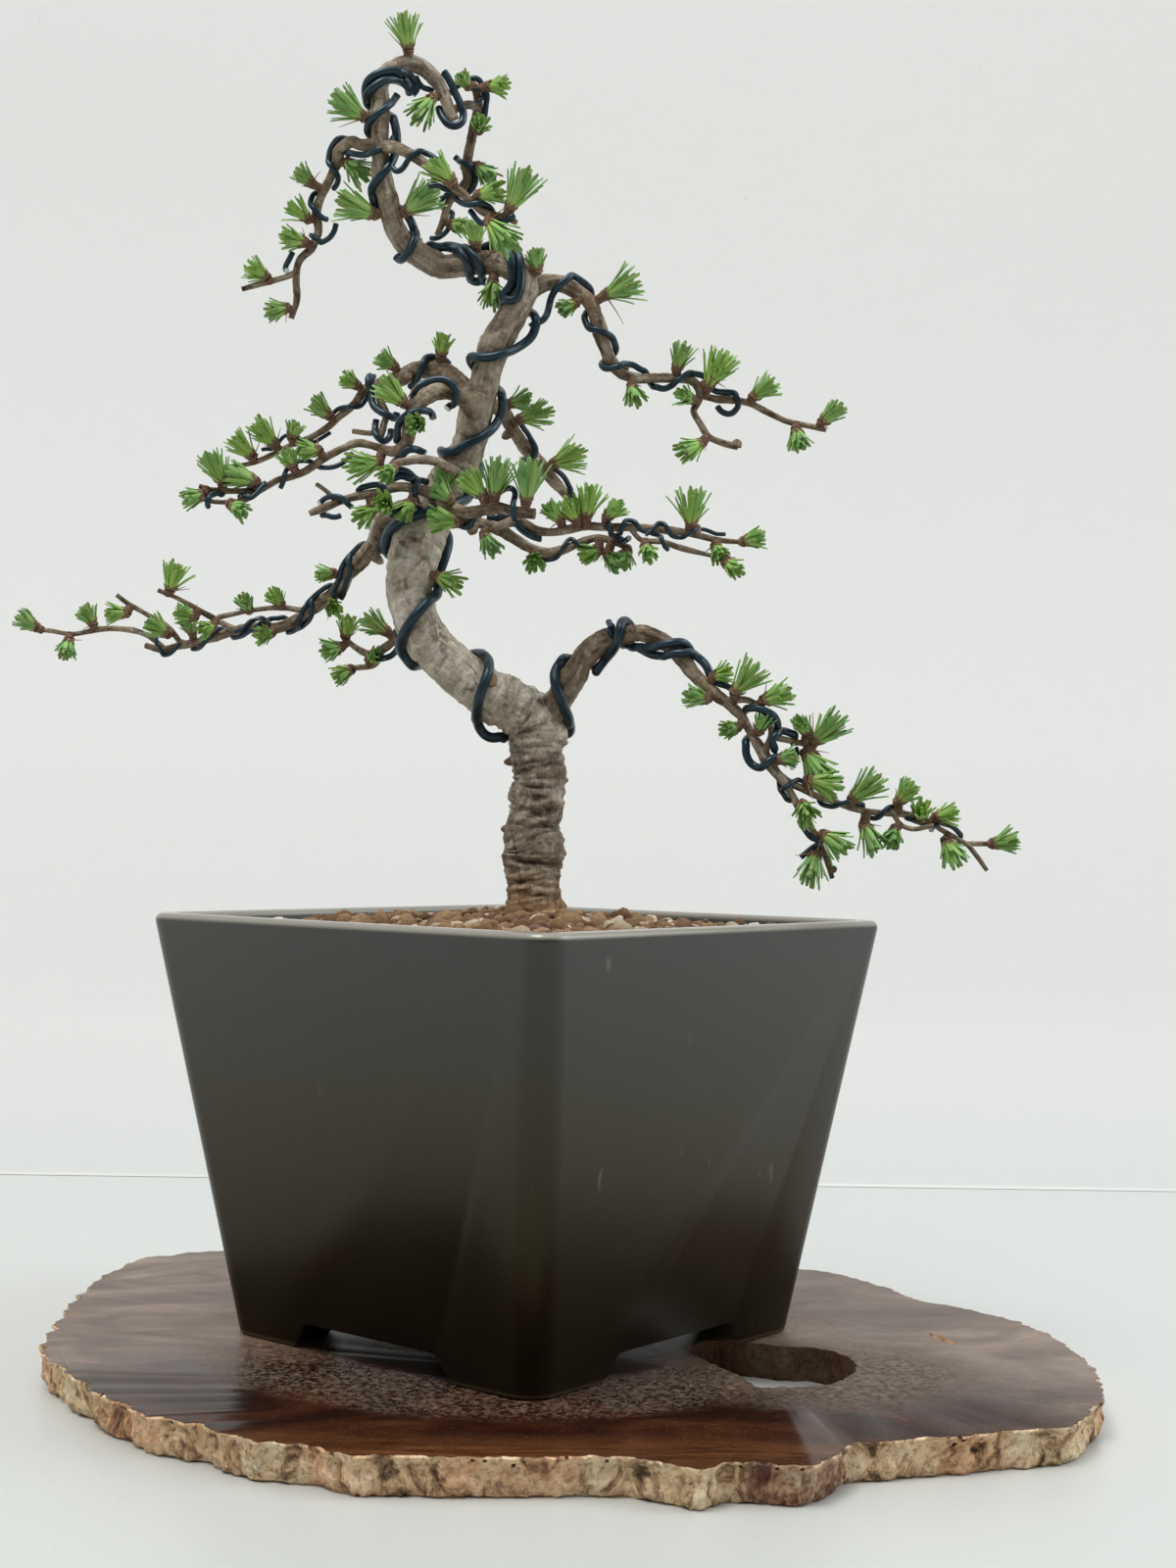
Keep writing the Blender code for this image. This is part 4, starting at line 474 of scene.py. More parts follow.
# The strands of wire that belong to each node: the stems a strand hugs, its radius in millimetres, and
# readings of (pixel x, pixel y, how far in front: 1 in front of the wood, 0 beside it, -1 behind it)
STRANDS = {
    "wire_trunk": (
        (("trunk", "branch_low_right"), 1.75, (
            (588, 674, -1), (580, 677, 0), (572, 679, 0), (567, 686, 1), (567, 694, 1), (569, 704, 1),
            (573, 715, 1), (575, 726, 0.5), (574, 737, 0), (570, 747, -0.7), (556, 752, -1),
            (540, 752, -1), (522, 750, -1), (509, 752, -0.5), (503, 753, 0), (495, 750, 0),
            (489, 742, 0.3), (487, 733, 0.6), (487, 722, 1), (489, 712, 1), (492, 703, 1), (495, 695, 1),
            (496, 688, 0.7), (493, 681, 0.3), (487, 676, 0), (479, 673, -0.5), (465, 672, -1),
            (450, 674, -1), (436, 676, -1), (427, 676, -0.4), (424, 674, 0), (417, 669, 0),
            (412, 661, 0.3), (411, 653, 0.8), (413, 645, 1), (418, 636, 1), (424, 628, 1), (431, 620, 1),
            (438, 613, 1), (444, 607, 0.5), (446, 601, 0), (443, 596, -0.3), (438, 591, -0.8),
            (428, 585, -1), (414, 578, -1), (403, 570, -1), (397, 562, -0.5), (396, 553, 0),
            (399, 545, 0.5), (405, 538, 1), (413, 533, 1), (422, 530, 1), (436, 524, 1), (452, 518, 1),
            (466, 513, 1), (475, 508, 0.3), (483, 496, -0.7), (487, 483, -1), (487, 470, -1),
        )),
        (("trunk",), 1.5, (
            (432, 600, -1), (438, 589, -0.6), (445, 578, -0.4), (451, 567, -0.4), (455, 556, -0.6),
            (456, 546, -1), (450, 536, -1),
        )),
        (("trunk",), 1.6, (
            (474, 482, -1), (465, 477, -0.7), (463, 469, 0.2), (467, 460, 1), (477, 453, 1), (490, 447, 1),
            (501, 439, 1), (509, 428, 0.8), (513, 416, 0.2), (512, 405, -0.4), (507, 397, -1),
            (497, 388, -1), (488, 380, -1), (484, 372, -0.6), (483, 366, 0.3), (492, 365, 1),
            (503, 364, 1), (513, 361, 1), (524, 357, 1), (534, 351, 1), (542, 344, 0.7), (546, 335, 0.3),
            (547, 326, -0.3), (540, 318, -1), (526, 318, -1), (516, 311, -0.3), (519, 303, 0.5),
            (522, 293, 1), (524, 283, 1), (523, 272, 1), (520, 263, 1), (513, 256, 0.6), (504, 253, 0),
            (495, 253, -0.5), (488, 258, -1),
        )),
        (("trunk",), 1.5, (
            (512, 322, -1), (520, 318, -0.5), (524, 313, 0.3), (528, 305, 0.8), (531, 293, 1),
            (532, 281, 1), (531, 270, 1), (527, 260, 0.8), (520, 253, 0.3), (510, 249, -0.3),
            (500, 250, -1), (490, 256, -1),
        )),
        (("trunk",), 1.5, (
            (430, 258, -1), (438, 253, 0), (448, 252, 0.6), (459, 253, 1), (469, 258, 1), (476, 266, 1),
            (480, 275, 0.7), (480, 283, 0), (486, 288, -0.8), (496, 284, -1),
        )),
        (("trunk",), 1.4, (
            (445, 256, -1), (453, 251, -0.3), (462, 251, 0.4), (472, 254, 0.9), (481, 259, 1),
            (488, 267, 1), (492, 277, 0.7), (491, 286, 0), (497, 288, -0.9),
        )),
        (("trunk",), 1.5, (
            (404, 212, -1), (411, 216, -0.5), (417, 222, 0), (421, 230, 0.2), (423, 239, 0.6),
            (421, 248, 1), (417, 257, 1), (411, 263, 0.2), (404, 261, -0.6),
        )),
        (("trunk",), 1.5, (
            (397, 216, -1), (388, 211, -0.5), (382, 204, 0), (380, 197, 0.3), (382, 188, 1), (388, 180, 1),
            (395, 172, 1), (401, 163, 1), (404, 153, 0.8), (405, 143, 0.3), (404, 132, 0),
            (401, 122, -0.6), (394, 116, -1),
        )),
        (("trunk",), 1.3, (
            (406, 96, -1), (402, 102, 0), (395, 109, 1), (388, 114, 1), (382, 120, 1), (379, 127, 0.5),
            (379, 134, 0), (384, 141, -0.7),
        )),
        (("trunk",), 1.5, (
            (380, 110, -0.9), (375, 103, -0.2), (374, 95, 0.2), (376, 87, 0.6), (381, 80, 1), (389, 75, 1),
            (398, 72, 1), (408, 73, 1), (417, 77, 1), (423, 83, 0.7), (425, 90, 0), (420, 96, -0.7),
        )),
        (("trunk",), 1.5, (
            (384, 112, -1), (379, 104, -0.3), (379, 95, 0.7), (384, 88, 1), (391, 83, 1), (400, 81, 1),
            (409, 83, 1), (416, 88, 0.7), (418, 95, -0.3),
        )),
        (("trunk",), 1, (
            (424, 78, 0.6), (427, 84, 0.5), (431, 89, 0), (437, 91, 0), (443, 91, -0.5),
        )),
        (("trunk",), 1.35, (
            (452, 74, 0.2), (456, 79, 0.4), (460, 86, 0.6), (464, 94, 0.6), (468, 102, 0.8),
            (471, 109, 0.6), (473, 116, 0.3), (471, 122, 0.2), (464, 126, 0.3), (457, 124, 0.4),
            (452, 117, 0), (450, 109, -0.5),
        )),
    ),
    "wire_low_right_a": (
        (("branch_low_right",), 1.6, (
            (590, 664, -1), (597, 676, -0.6), (603, 682, 0), (609, 678, 0), (617, 672, 0.3),
            (624, 665, 0.8), (629, 657, 1), (632, 648, 1), (635, 641, 0.5), (638, 638, 0),
            (643, 643, -0.7), (648, 652, -1),
        )),
        (("branch_low_right",), 1.45, (
            (640, 657, -1), (648, 660, -0.2), (657, 660, 0.4), (667, 660, 0.8), (677, 658, 1),
            (687, 657, 0.8), (695, 660, 0.3), (701, 665, -0.2), (706, 671, -0.8),
        )),
    ),
    "wire_low_right_b": (
        (("branch_low_right",), 1.45, (
            (645, 658, -1), (655, 663, 0), (665, 668, 0), (676, 669, 0.5), (687, 667, 1), (697, 667, 1),
            (707, 668, 0.8), (715, 673, 0.3), (721, 680, 0), (724, 688, -0.5), (723, 695, -1),
        )),
        (("branch_low_right",), 1.1, (
            (621, 634, 0.5), (624, 641, 0.6), (627, 648, 0.2), (631, 656, -0.6),
        )),
    ),
    "wire_low_right_c": (
        (("branch_low_right",), 0.85, (
            (836, 812, -0.5), (841, 819, 0), (849, 822, 0.5), (858, 820, 1), (866, 819, 1),
            (874, 821, 0.6), (880, 825, 0), (884, 830, -0.6), (888, 833, -0.2), (893, 834, 0.2),
            (898, 831, 0.7), (904, 826, 1), (910, 823, 0.8), (916, 825, 0), (921, 830, -0.7),
        )),
        (("branch_low_right",), 0.8, (
            (799, 808, -0.4), (801, 802, 0.3), (808, 799, 0.2), (816, 799, 0), (824, 803, 0.3),
            (829, 809, -0.4),
        )),
    ),
    "wire_low_right_d": (
        (("branch_low_right",), 0.9, (
            (798, 797, -0.4), (800, 804, 0), (804, 811, 0.2), (810, 817, -0.5),
        )),
        (("branch_low_right",), 0.9, (
            (817, 836, -0.5), (820, 843, 0), (825, 849, 0), (831, 855, 0.5), (838, 858, 0.9),
        )),
        (("branch_low_right",), 0.95, (
            (840, 856, 0.5), (836, 860, 1), (829, 865, 0.6), (823, 870, 0.2), (817, 875, 0),
        )),
    ),
    "wire_low_right_e": (
        (("branch_low_right",), 1.3, (
            (757, 728, -0.6), (762, 723, 0.3), (770, 722, 1), (779, 725, 0.9), (786, 731, 0.4),
            (790, 739, 0), (790, 748, -0.4),
        )),
        (("branch_low_right",), 1.35, (
            (766, 750, -0.6), (762, 758, -0.2), (761, 767, 0), (764, 776, 0.2), (770, 782, 0.6),
            (777, 783, 0.8), (785, 779, 0.3), (789, 773, -0.4),
        )),
        (("branch_low_right",), 1.3, (
            (789, 765, -0.2), (787, 757, 0.7), (790, 750, 1), (797, 746, 0.5), (804, 747, 0.2),
            (810, 752, 0), (813, 759, -0.3),
        )),
        (("branch_low_right",), 0.8, (
            (813, 761, -0.2), (813, 769, 0), (811, 777, 0), (808, 784, 0.3),
        )),
        (("branch_low_right",), 1.1, (
            (722, 692, -0.9), (727, 697, -0.2), (734, 698, 0), (741, 700, 0.2), (748, 704, 0.3),
            (753, 710, -0.5),
        )),
    ),
    "wire_low_right_f": (
        (("branch_low_right",), 0.85, (
            (922, 829, -0.5), (928, 833, 0.3), (934, 837, 0.8), (942, 839, 0.3), (948, 838, -0.5),
        )),
        (("branch_low_right",), 0.9, (
            (950, 846, -0.6), (955, 842, 0.3), (963, 841, 1), (971, 843, 0.9), (977, 848, 0.3),
            (980, 855, -0.2), (979, 862, -0.6),
        )),
    ),
    "wire_low_left_a": (
        (("trunk", "branch_low_left"), 1, (
            (404, 520, -0.3), (399, 529, 0.3), (395, 538, 0.7), (390, 547, 0.7), (384, 555, 0.2),
            (376, 560, -0.7),
        )),
        (("branch_low_left",), 0.95, (
            (374, 557, -0.6), (366, 559, -0.1), (360, 566, 0.3), (354, 573, 0.9), (349, 581, 1),
            (347, 590, 1), (344, 600, 0.6), (340, 609, 0), (334, 614, -0.7),
        )),
        (("branch_low_left",), 0.95, (
            (362, 566, -0.3), (360, 575, 0.5), (358, 584, 0.9), (354, 592, 0.8), (350, 599, 0.4),
            (347, 606, 0.3),
        )),
        (("branch_low_left",), 0.95, (
            (342, 600, -0.5), (334, 600, 0), (327, 604, 0.1), (322, 611, 0.5), (316, 616, 0.9),
            (310, 621, 1), (307, 628, 1), (304, 636, 0.5), (299, 642, 0), (292, 643, -0.5),
        )),
        (("branch_low_left",), 0.9, (
            (326, 612, -0.3), (321, 619, 0.6), (318, 627, 1), (313, 635, 0.6), (306, 641, 0),
            (297, 642, -0.5),
        )),
        (("branch_low_left",), 0.9, (
            (294, 637, -0.6), (287, 632, 0), (279, 631, 0), (272, 633, 0.5), (265, 638, 1),
            (258, 642, 0.8), (249, 645, 0.3), (241, 648, 0), (233, 647, -0.5),
        )),
        (("branch_low_left",), 0.85, (
            (275, 637, -0.3), (268, 631, 0), (261, 632, 0.2), (255, 637, 0.7), (248, 642, 1),
            (241, 644, 0.6),
        )),
    ),
    "wire_low_left_b": (
        (("branch_low_left",), 0.85, (
            (230, 645, -0.4), (222, 646, 0.3), (215, 650, 1), (208, 656, 0.8), (202, 660, 0),
            (194, 660, -0.5),
        )),
        (("branch_low_left",), 0.8, (
            (188, 657, -0.3), (181, 660, 0.5), (174, 664, 0.3), (167, 664, 0), (162, 658, 0.4),
            (157, 651, 0),
        )),
        (("branch_small_left",), 1.1, (
            (409, 645, 0.1), (408, 654, 0), (405, 663, 0.1), (398, 670, 0.4), (390, 671, 0.6),
            (382, 668, 0),
        )),
    ),
    "wire_upper_left": (
        (("branch_upper_left",), 0.8, (
            (383, 384, 0), (380, 390, 0.4), (378, 398, 0), (374, 406, 0), (367, 412, 0), (359, 415, 0.7),
            (351, 416, 1), (344, 419, 0.5), (339, 425, -0.4),
        )),
        (("branch_upper_left",), 0.72, (
            (336, 440, -0.4), (329, 446, 0), (321, 451, 0.5), (313, 451, 1), (306, 448, 0.6),
            (299, 445, 0), (292, 444, 0), (286, 449, 0), (282, 456, 0.5), (278, 459, 0.7), (272, 458, 0.2),
            (267, 459, 0),
        )),
        (("branch_upper_left",), 1.15, (
            (456, 374, -0.5), (449, 371, 0), (440, 371, 0), (432, 376, 0.5), (428, 383, 1),
            (424, 390, 0.7), (418, 395, 0),
        )),
    ),
    "wire_droop": (
        (("branch_upper_left",), 1.3, (
            (380, 388, 0), (381, 397, 0.4), (381, 406, 0), (384, 414, 0.3), (389, 420, 0.8),
            (396, 425, 0.8), (403, 427, 0.2), (405, 421, -0.3),
        )),
        (("branch_upper_left",), 1.2, (
            (384, 428, -0.2), (383, 437, 0.3), (386, 446, 0.6), (392, 450, 0.6), (398, 446, 0),
            (399, 438, -0.3),
        )),
    ),
    "wire_front_left": (
        (("branch_front_left",), 1.25, (
            (456, 417, -0.5), (462, 411, 0), (464, 403, 0.3), (461, 396, 0.7), (455, 391, 0.5),
            (448, 389, 0.2), (440, 389, 0.2), (432, 393, 0.1), (427, 400, 0), (425, 409, -0.5),
        )),
        (("branch_front_left",), 1.25, (
            (412, 460, -0.6), (408, 452, 0), (407, 443, 0), (410, 434, 0.3), (415, 426, 0.7),
            (423, 420, 1), (432, 419, 1), (440, 421, 0.4), (442, 427, -0.4),
        )),
        (("branch_front_left",), 1.3, (
            (398, 486, -0.3), (400, 478, 0), (403, 470, 0.1), (409, 463, 0.5), (417, 458, 0.9),
            (426, 459, 0.8), (434, 463, -0.2),
        )),
        (("branch_front_left",), 0.85, (
            (360, 462, -0.4), (355, 468, 0), (347, 474, 0), (338, 477, 0), (330, 477, 0.3),
            (322, 474, -0.6), (316, 471, -0.5), (308, 470, 0), (300, 472, 0.3), (294, 477, 0.9),
            (290, 485, 1), (289, 492, 0.8), (286, 498, 0),
        )),
        (("branch_front_left",), 0.9, (
            (272, 495, 0.2), (265, 500, 0.9), (259, 506, 1), (252, 509, 0.5), (244, 506, 0),
        )),
        (("branch_front_left",), 0.95, (
            (232, 500, -0.3), (224, 502, 0.4), (216, 506, 0.8), (213, 512, 0.2), (213, 517, 0),
        )),
    ),
    "wire_middle_left": (
        (("branch_middle_left",), 1.25, (
            (393, 491, -0.4), (398, 485, 0.3), (406, 480, 1), (415, 481, 1), (422, 487, 0.7),
            (427, 494, 0),
        )),
        (("branch_middle_left",), 1.1, (
            (398, 494, -0.2), (403, 488, 0.8), (411, 486, 1), (418, 490, 0.8), (423, 497, 0),
        )),
        (("branch_middle_left", "branch_middle_right"), 1.15, (
            (436, 495, 0.2), (430, 491, 0.4), (425, 494, 0.8), (423, 501, 1), (424, 509, 1), (427, 516, 1),
            (432, 522, 0.4),
        )),
        (("branch_middle_left",), 1.05, (
            (366, 503, -0.5), (371, 498, 0.2), (379, 495, 0.6), (387, 496, 0.9), (393, 501, 0.5),
            (397, 507, -0.4),
        )),
        (("branch_middle_left",), 0.95, (
            (326, 514, -0.4), (331, 509, 0.3), (339, 507, 1), (348, 508, 1), (355, 513, 0.3),
            (359, 518, -0.5),
        )),
        (("branch_middle_left",), 0.95, (
            (329, 521, -0.2), (334, 526, 0.3), (341, 528, 0), (348, 526, 0),
        )),
        (("branch_middle_left", "trunk"), 1.3, (
            (396, 527, -0.4), (403, 520, 0.2), (412, 516, 0.5), (423, 516, 0.3),
        )),
    ),
    "wire_middle_right_a": (
        (("branch_middle_right",), 1, (
            (500, 509, -0.5), (506, 505, 0), (512, 501, 0), (518, 498, 0), (524, 499, 0.2),
            (526, 505, 0.7), (524, 512, 1), (524, 521, 1), (527, 530, 1), (532, 537, 0.6), (539, 542, 0.3),
            (546, 545, 0.2), (553, 549, 0.2),
        )),
        (("branch_middle_right",), 1.2, (
            (452, 529, -0.4), (460, 534, 0), (470, 535, 0), (481, 533, 0.2), (490, 529, -0.4),
        )),
        (("branch_middle_right",), 1.15, (
            (497, 529, -0.5), (505, 533, 0), (515, 534, 0), (525, 530, -0.3),
        )),
        (("branch_middle_right",), 0.75, (
            (551, 566, -0.3), (559, 569, 0.2), (567, 567, 0.3), (573, 562, 0.8), (577, 556, 0.8),
            (583, 554, 0), (589, 556, 0.3), (596, 559, 0.4), (604, 559, 0.2), (611, 554, -0.3),
        )),
    ),
    "wire_middle_right_b": (
        (("branch_middle_right",), 0.8, (
            (624, 553, -0.3), (629, 547, 0.6), (634, 539, 1), (638, 533, 0.4), (643, 531, 0),
            (648, 535, 0.5), (654, 541, 0.9), (662, 543, 0.9), (670, 545, 0.8), (675, 551, 0.8),
            (679, 557, 0.3), (682, 561, 0),
        )),
        (("branch_middle_right",), 0.72, (
            (659, 546, -0.3), (665, 541, 0.7), (671, 537, 0.2), (677, 537, 0.1), (682, 542, 0.5),
            (688, 547, 0.3), (695, 548, 0.3), (702, 545, 0.9), (709, 541, 0.7), (717, 540, 0),
            (724, 542, 0), (731, 545, 0), (740, 545, 0),
        )),
        (("branch_middle_right",), 0.95, (
            (618, 532, -0.2), (622, 540, 0.7), (628, 549, 1), (635, 553, 0.6), (642, 549, 0),
        )),
    ),
    "wire_back_right": (
        (("branch_back_right",), 1, (
            (527, 431, -0.4), (533, 436, 0.4), (539, 443, 0.9), (542, 451, 0.8), (542, 459, 0.4),
            (539, 466, -0.3),
        )),
        (("branch_back_right",), 1, (
            (562, 476, -0.4), (568, 480, 0.4), (575, 486, 0.9), (580, 495, 1), (582, 505, 0.9),
            (586, 514, 0.6), (591, 520, -0.2),
        )),
    ),
    "wire_upper_right": (
        (("trunk", "branch_upper_right"), 1.2, (
            (541, 334, 0.2), (546, 330, 0.2), (552, 328, 0), (557, 323, 0), (560, 314, 0), (562, 305, 0.6),
            (566, 297, 1), (572, 290, 1), (579, 286, 0.5), (586, 285, 0.1), (593, 289, 0.1),
            (599, 296, -0.1), (603, 303, -0.7), (603, 312, -1), (600, 320, -0.4), (601, 328, 0),
            (605, 334, 0.3), (611, 337, 0.9), (618, 340, 1), (624, 346, 0.5), (627, 354, 0),
            (625, 362, -0.7),
        )),
        (("branch_upper_right",), 1.15, (
            (622, 366, -0.8), (617, 370, -0.2), (620, 375, 0.5), (628, 375, 1), (636, 372, 0.6),
            (645, 372, 0.1), (652, 376, 0.1), (659, 381, -0.4), (663, 388, -0.7), (669, 394, -0.1),
            (677, 397, 0.1), (684, 394, 0.5), (690, 389, 1), (697, 385, 1), (705, 382, 0.4),
            (713, 382, 0.1), (720, 385, 0), (726, 391, -0.5),
        )),
    ),
    "wire_upper_right_tip": (
        (("branch_upper_right",), 1.1, (
            (727, 397, -0.3), (733, 402, 0.2), (741, 400, 0.2), (748, 403, 0.3), (752, 409, 0.3),
            (752, 416, 0), (747, 422, 0), (740, 422, 0), (734, 418, 0), (732, 414, -0.3),
        )),
    ),
    "wire_top_left": (
        (("branch_top_left",), 1, (
            (354, 147, -0.3), (347, 146, 0), (340, 149, 0), (336, 156, 0), (337, 165, 0.3),
            (341, 173, 0.9), (345, 181, 0.5), (344, 188, 0), (339, 192, -0.5),
        )),
        (("branch_top_left",), 1, (
            (329, 196, -0.5), (322, 201, 0), (320, 209, 0.2), (323, 216, 0.8), (328, 222, 0.8),
            (334, 224, 0),
        )),
        (("branch_top_left",), 1, (
            (343, 228, 0), (341, 236, 0), (336, 243, 0.4), (328, 247, 0.8), (321, 246, 0),
        )),
        (("branch_top_left",), 1, (
            (299, 257, 0.3), (295, 265, 0), (291, 273, 0.2), (293, 279, 0.4),
        )),
        (("trunk", "branch_top_left"), 1.1, (
            (344, 150, -0.4), (352, 154, 0), (361, 157, 0.2), (371, 158, 0.4), (381, 156, 0.8),
            (390, 152, 1), (397, 147, 1), (402, 140, 0.2),
        )),
    ),
    "wire_top_right": (
        (("branch_top_right",), 1, (
            (400, 170, -0.6), (404, 175, 0), (410, 173, 0.2), (415, 166, 0.3), (420, 160, 0.6),
            (428, 158, 0.3), (436, 157, 0.1), (443, 161, 0.4), (447, 167, 0.2), (450, 174, -0.7),
        )),
        (("branch_top_right",), 0.95, (
            (437, 190, 0), (447, 189, 0.1), (459, 190, -0.4),
        )),
        (("branch_top_right",), 1, (
            (466, 200, -0.3), (471, 206, 0.3), (479, 209, 0.9), (489, 208, 1), (497, 212, 0.3),
            (502, 218, -0.5),
        )),
        (("branch_top_right",), 1, (
            (480, 214, -0.4), (485, 222, 0.2), (491, 228, 0.2), (499, 227, 0.3), (510, 226, 0.2),
            (522, 223, 0.2),
        )),
    ),
    "wire_descending": (
        (("branch_descending",), 1.05, (
            (459, 95, -0.3), (464, 90, 0.2), (471, 85, 0.3), (479, 83, 0.1), (487, 84, 0.1),
            (494, 89, 0.2), (497, 97, 0), (496, 106, 0.1), (494, 115, 0), (491, 124, -0.4), (485, 131, -1),
        )),
        (("branch_descending",), 0.65, (
            (482, 91, 1), (488, 91, 1), (493, 95, 1), (492, 101, 1), (486, 104, 1),
        )),
        (("branch_descending",), 1.1, (
            (464, 160, -0.5), (469, 164, 0.5), (477, 168, 1), (484, 173, 0.6), (484, 181, 0.1),
            (480, 189, 0), (476, 195, -0.6),
        )),
        (("branch_descending",), 0.95, (
            (470, 194, -0.5), (463, 197, 0.6), (456, 200, 0.9), (451, 206, 0.2), (453, 213, -0.7),
        )),
        (("branch_descending",), 0.95, (
            (457, 213, -0.5), (460, 221, 0), (459, 230, 0.1), (455, 237, 0.7), (448, 242, 0.9),
            (440, 243, 0.2),
        )),
    ),
}


# Sight lines


def sight_line(px, py):
    """The direction, with a Y part of 1, in which the viewer sees a pixel."""
    right = (px - CENTRE_PX[0]) / FOCAL_PX
    up = (CENTRE_PX[1] - py) / FOCAL_PX
    level_x = right * math.cos(ROLL) - up * math.sin(ROLL)
    level_z = right * math.sin(ROLL) + up * math.cos(ROLL)
    ahead = math.cos(LOOK_UP) - level_z * math.sin(LOOK_UP)
    rise = math.sin(LOOK_UP) + level_z * math.cos(LOOK_UP)
    return Vector((level_x / ahead, 1.0, rise / ahead))


def sight(px, py, toward):
    """The point seen at a pixel, that many millimetres nearer than the pot's axis."""
    return EYE + sight_line(px, py) * (-EYE.y - toward * MM)


def sight_level(px, py, height):
    """The point seen at a pixel on a level plane."""
    line = sight_line(px, py)
    return EYE + line * ((height - EYE.z) / line.z)


def pixel(point):
    """The pixel at which the viewer sees a point."""
    away = point - EYE
    ahead = away.y * math.cos(LOOK_UP) + away.z * math.sin(LOOK_UP)
    rise = away.z * math.cos(LOOK_UP) - away.y * math.sin(LOOK_UP)
    right = away.x * math.cos(ROLL) + rise * math.sin(ROLL)
    up = rise * math.cos(ROLL) - away.x * math.sin(ROLL)
    return CENTRE_PX[0] + FOCAL_PX * right / ahead, CENTRE_PX[1] - FOCAL_PX * up / ahead


TRUNK_FOOT = tuple(sight(*TRUNK_FOOT_PX, 0))[:2]
FOOT_TOP = sight(*FOOT_TOP_PX, 0).z
KNEE_HEIGHT = sight(*KNEE_PX, 0).z
FORK_HEIGHT = sight(*FORK_PX, 0).z
SLAB_SCAR = tuple(sight_level(*SLAB_SCAR_PX, SLAB_THICK))
SLAB_HOLE_MIDDLE = tuple(sight_level(*HOLE_MIDDLE_PX, 0.5 * SLAB_THICK))
SLAB_KNOT = tuple(sight_level(*SLAB_KNOT_PX, 0.5 * SLAB_THICK))
# The place is halved across, as the look that measures from it halves its coordinates
SLAB_RED = (0.5 * sight_level(*SLAB_RED_PX, SLAB_THICK).x, sight_level(*SLAB_RED_PX, SLAB_THICK).y, 0.0)


# Curves


def blend(a, b, c, d, t):
    """Catmull-Rom between b and c."""
    return 0.5 * (2 * b + (c - a) * t + (2 * a - 5 * b + 4 * c - d) * t**2 + (3 * b - a - 3 * c + d) * t**3)


def smooth_rows(knots, step, closed=False):
    """Rows spaced evenly along the smooth line through knots, whose first three numbers are a place."""
    if closed:
        padded = [knots[-1], *knots, knots[0], knots[1]]
    else:
        padded = [2 * knots[0] - knots[1], *knots, 2 * knots[-1] - knots[-2]]
    dense = [
        blend(*padded[i : i + 4], part / CURVE_PARTS)
        for i in range(len(padded) - 3)
        for part in range(CURVE_PARTS)
    ]
    dense.append(padded[-2])
    dense = np.array(dense)
    run = np.concatenate([[0.0], np.cumsum(np.linalg.norm(np.diff(dense[:, :3], axis=0), axis=1))])
    count = max(int(round(run[-1] / step)), 2)
    wanted = np.linspace(0.0, run[-1], count + 1)
    if closed:
        wanted = wanted[:-1]
    return np.column_stack([np.interp(wanted, run, dense[:, k]) for k in range(dense.shape[1])])


def wood_line(table, step):
    """Evenly spaced (point, radius) pairs along the smooth line through a table."""
    knots = []
    for px, py, toward, width in table:
        centre = sight(px, py, toward)
        knots.append(np.array((*centre, 0.5 * width * (centre.y - EYE.y) / FOCAL_PX)))
    return [(Vector(row[:3]), float(row[3])) for row in smooth_rows(knots, step)]


def across(axis, hint):
    """A unit vector square to the axis, as near the hint as it can be."""
    flat = hint - axis * hint.dot(axis)
    if flat.length < 1e-6:
        flat = axis.orthogonal()
    return flat.normalized()


def turned(first, second, turn):
    """The direction that lies an angle away from the first, towards the second."""
    return first * math.cos(turn) + second * math.sin(turn)


def held(value):
    """The value kept between 0 and 1."""
    return min(max(value, 0.0), 1.0)


def stretched(place, wide, along):
    """The place scaled one way across a stem and another way along it."""
    return Vector((place.x * wide, place.y * wide, place.z * along))


def lumps(place, scale, octaves=2):
    """Smooth noise from about -1 to 1."""
    return noise.fractal(place * scale, 1.0, 2.0, octaves)


# Meshes


def bands(rings, sides):
    """The faces between so many rings of so many points each."""
    faces = []
    for i in range(rings - 1):
        for k in range(sides):
            a, b = i * sides + k, i * sides + (k + 1) % sides
            faces.append((a, b, b + sides, a + sides))
    return faces


def shown(name, mesh, look):
    """A new object with this mesh and material, in the scene."""
    mesh.materials.append(look)
    made = bpy.data.objects.new(name, mesh)
    bpy.context.scene.collection.objects.link(made)
    return made


class Shape:
    """Points, faces and per-point values that become one piece."""

    def __init__(self, name):
        self.name = name
        self.points = []
        self.faces = []
        self.tints = []
        self.grains = []

    def add(self, points, faces, tints, grains=None):
        """Adds a closed form. Each point has a tint of four numbers and a place on the unrolled bark."""
        first = len(self.points)
        self.points.extend(tuple(point) for point in points)
        self.faces.extend(tuple(first + i for i in face) for face in faces)
        self.tints.extend(tints)
        self.grains.extend(grains if grains is not None else [(0.0, 0.0, 0.0)] * len(tints))

    def piece(self, look, sharp=60.0):
        """The finished object, with its material."""
        mesh = bpy.data.meshes.new(self.name)
        mesh.from_pydata(self.points, [], self.faces)
        tint = mesh.attributes.new("tint", "FLOAT_COLOR", "POINT")
        tint.data.foreach_set("color", np.array(self.tints, np.float32).ravel())
        grain = mesh.attributes.new("grain", "FLOAT_VECTOR", "POINT")
        grain.data.foreach_set("vector", np.array(self.grains, np.float32).ravel())
        mesh.shade_smooth()
        mesh.set_sharp_from_angle(angle=math.radians(sharp))
        return shown(self.name, mesh, look)


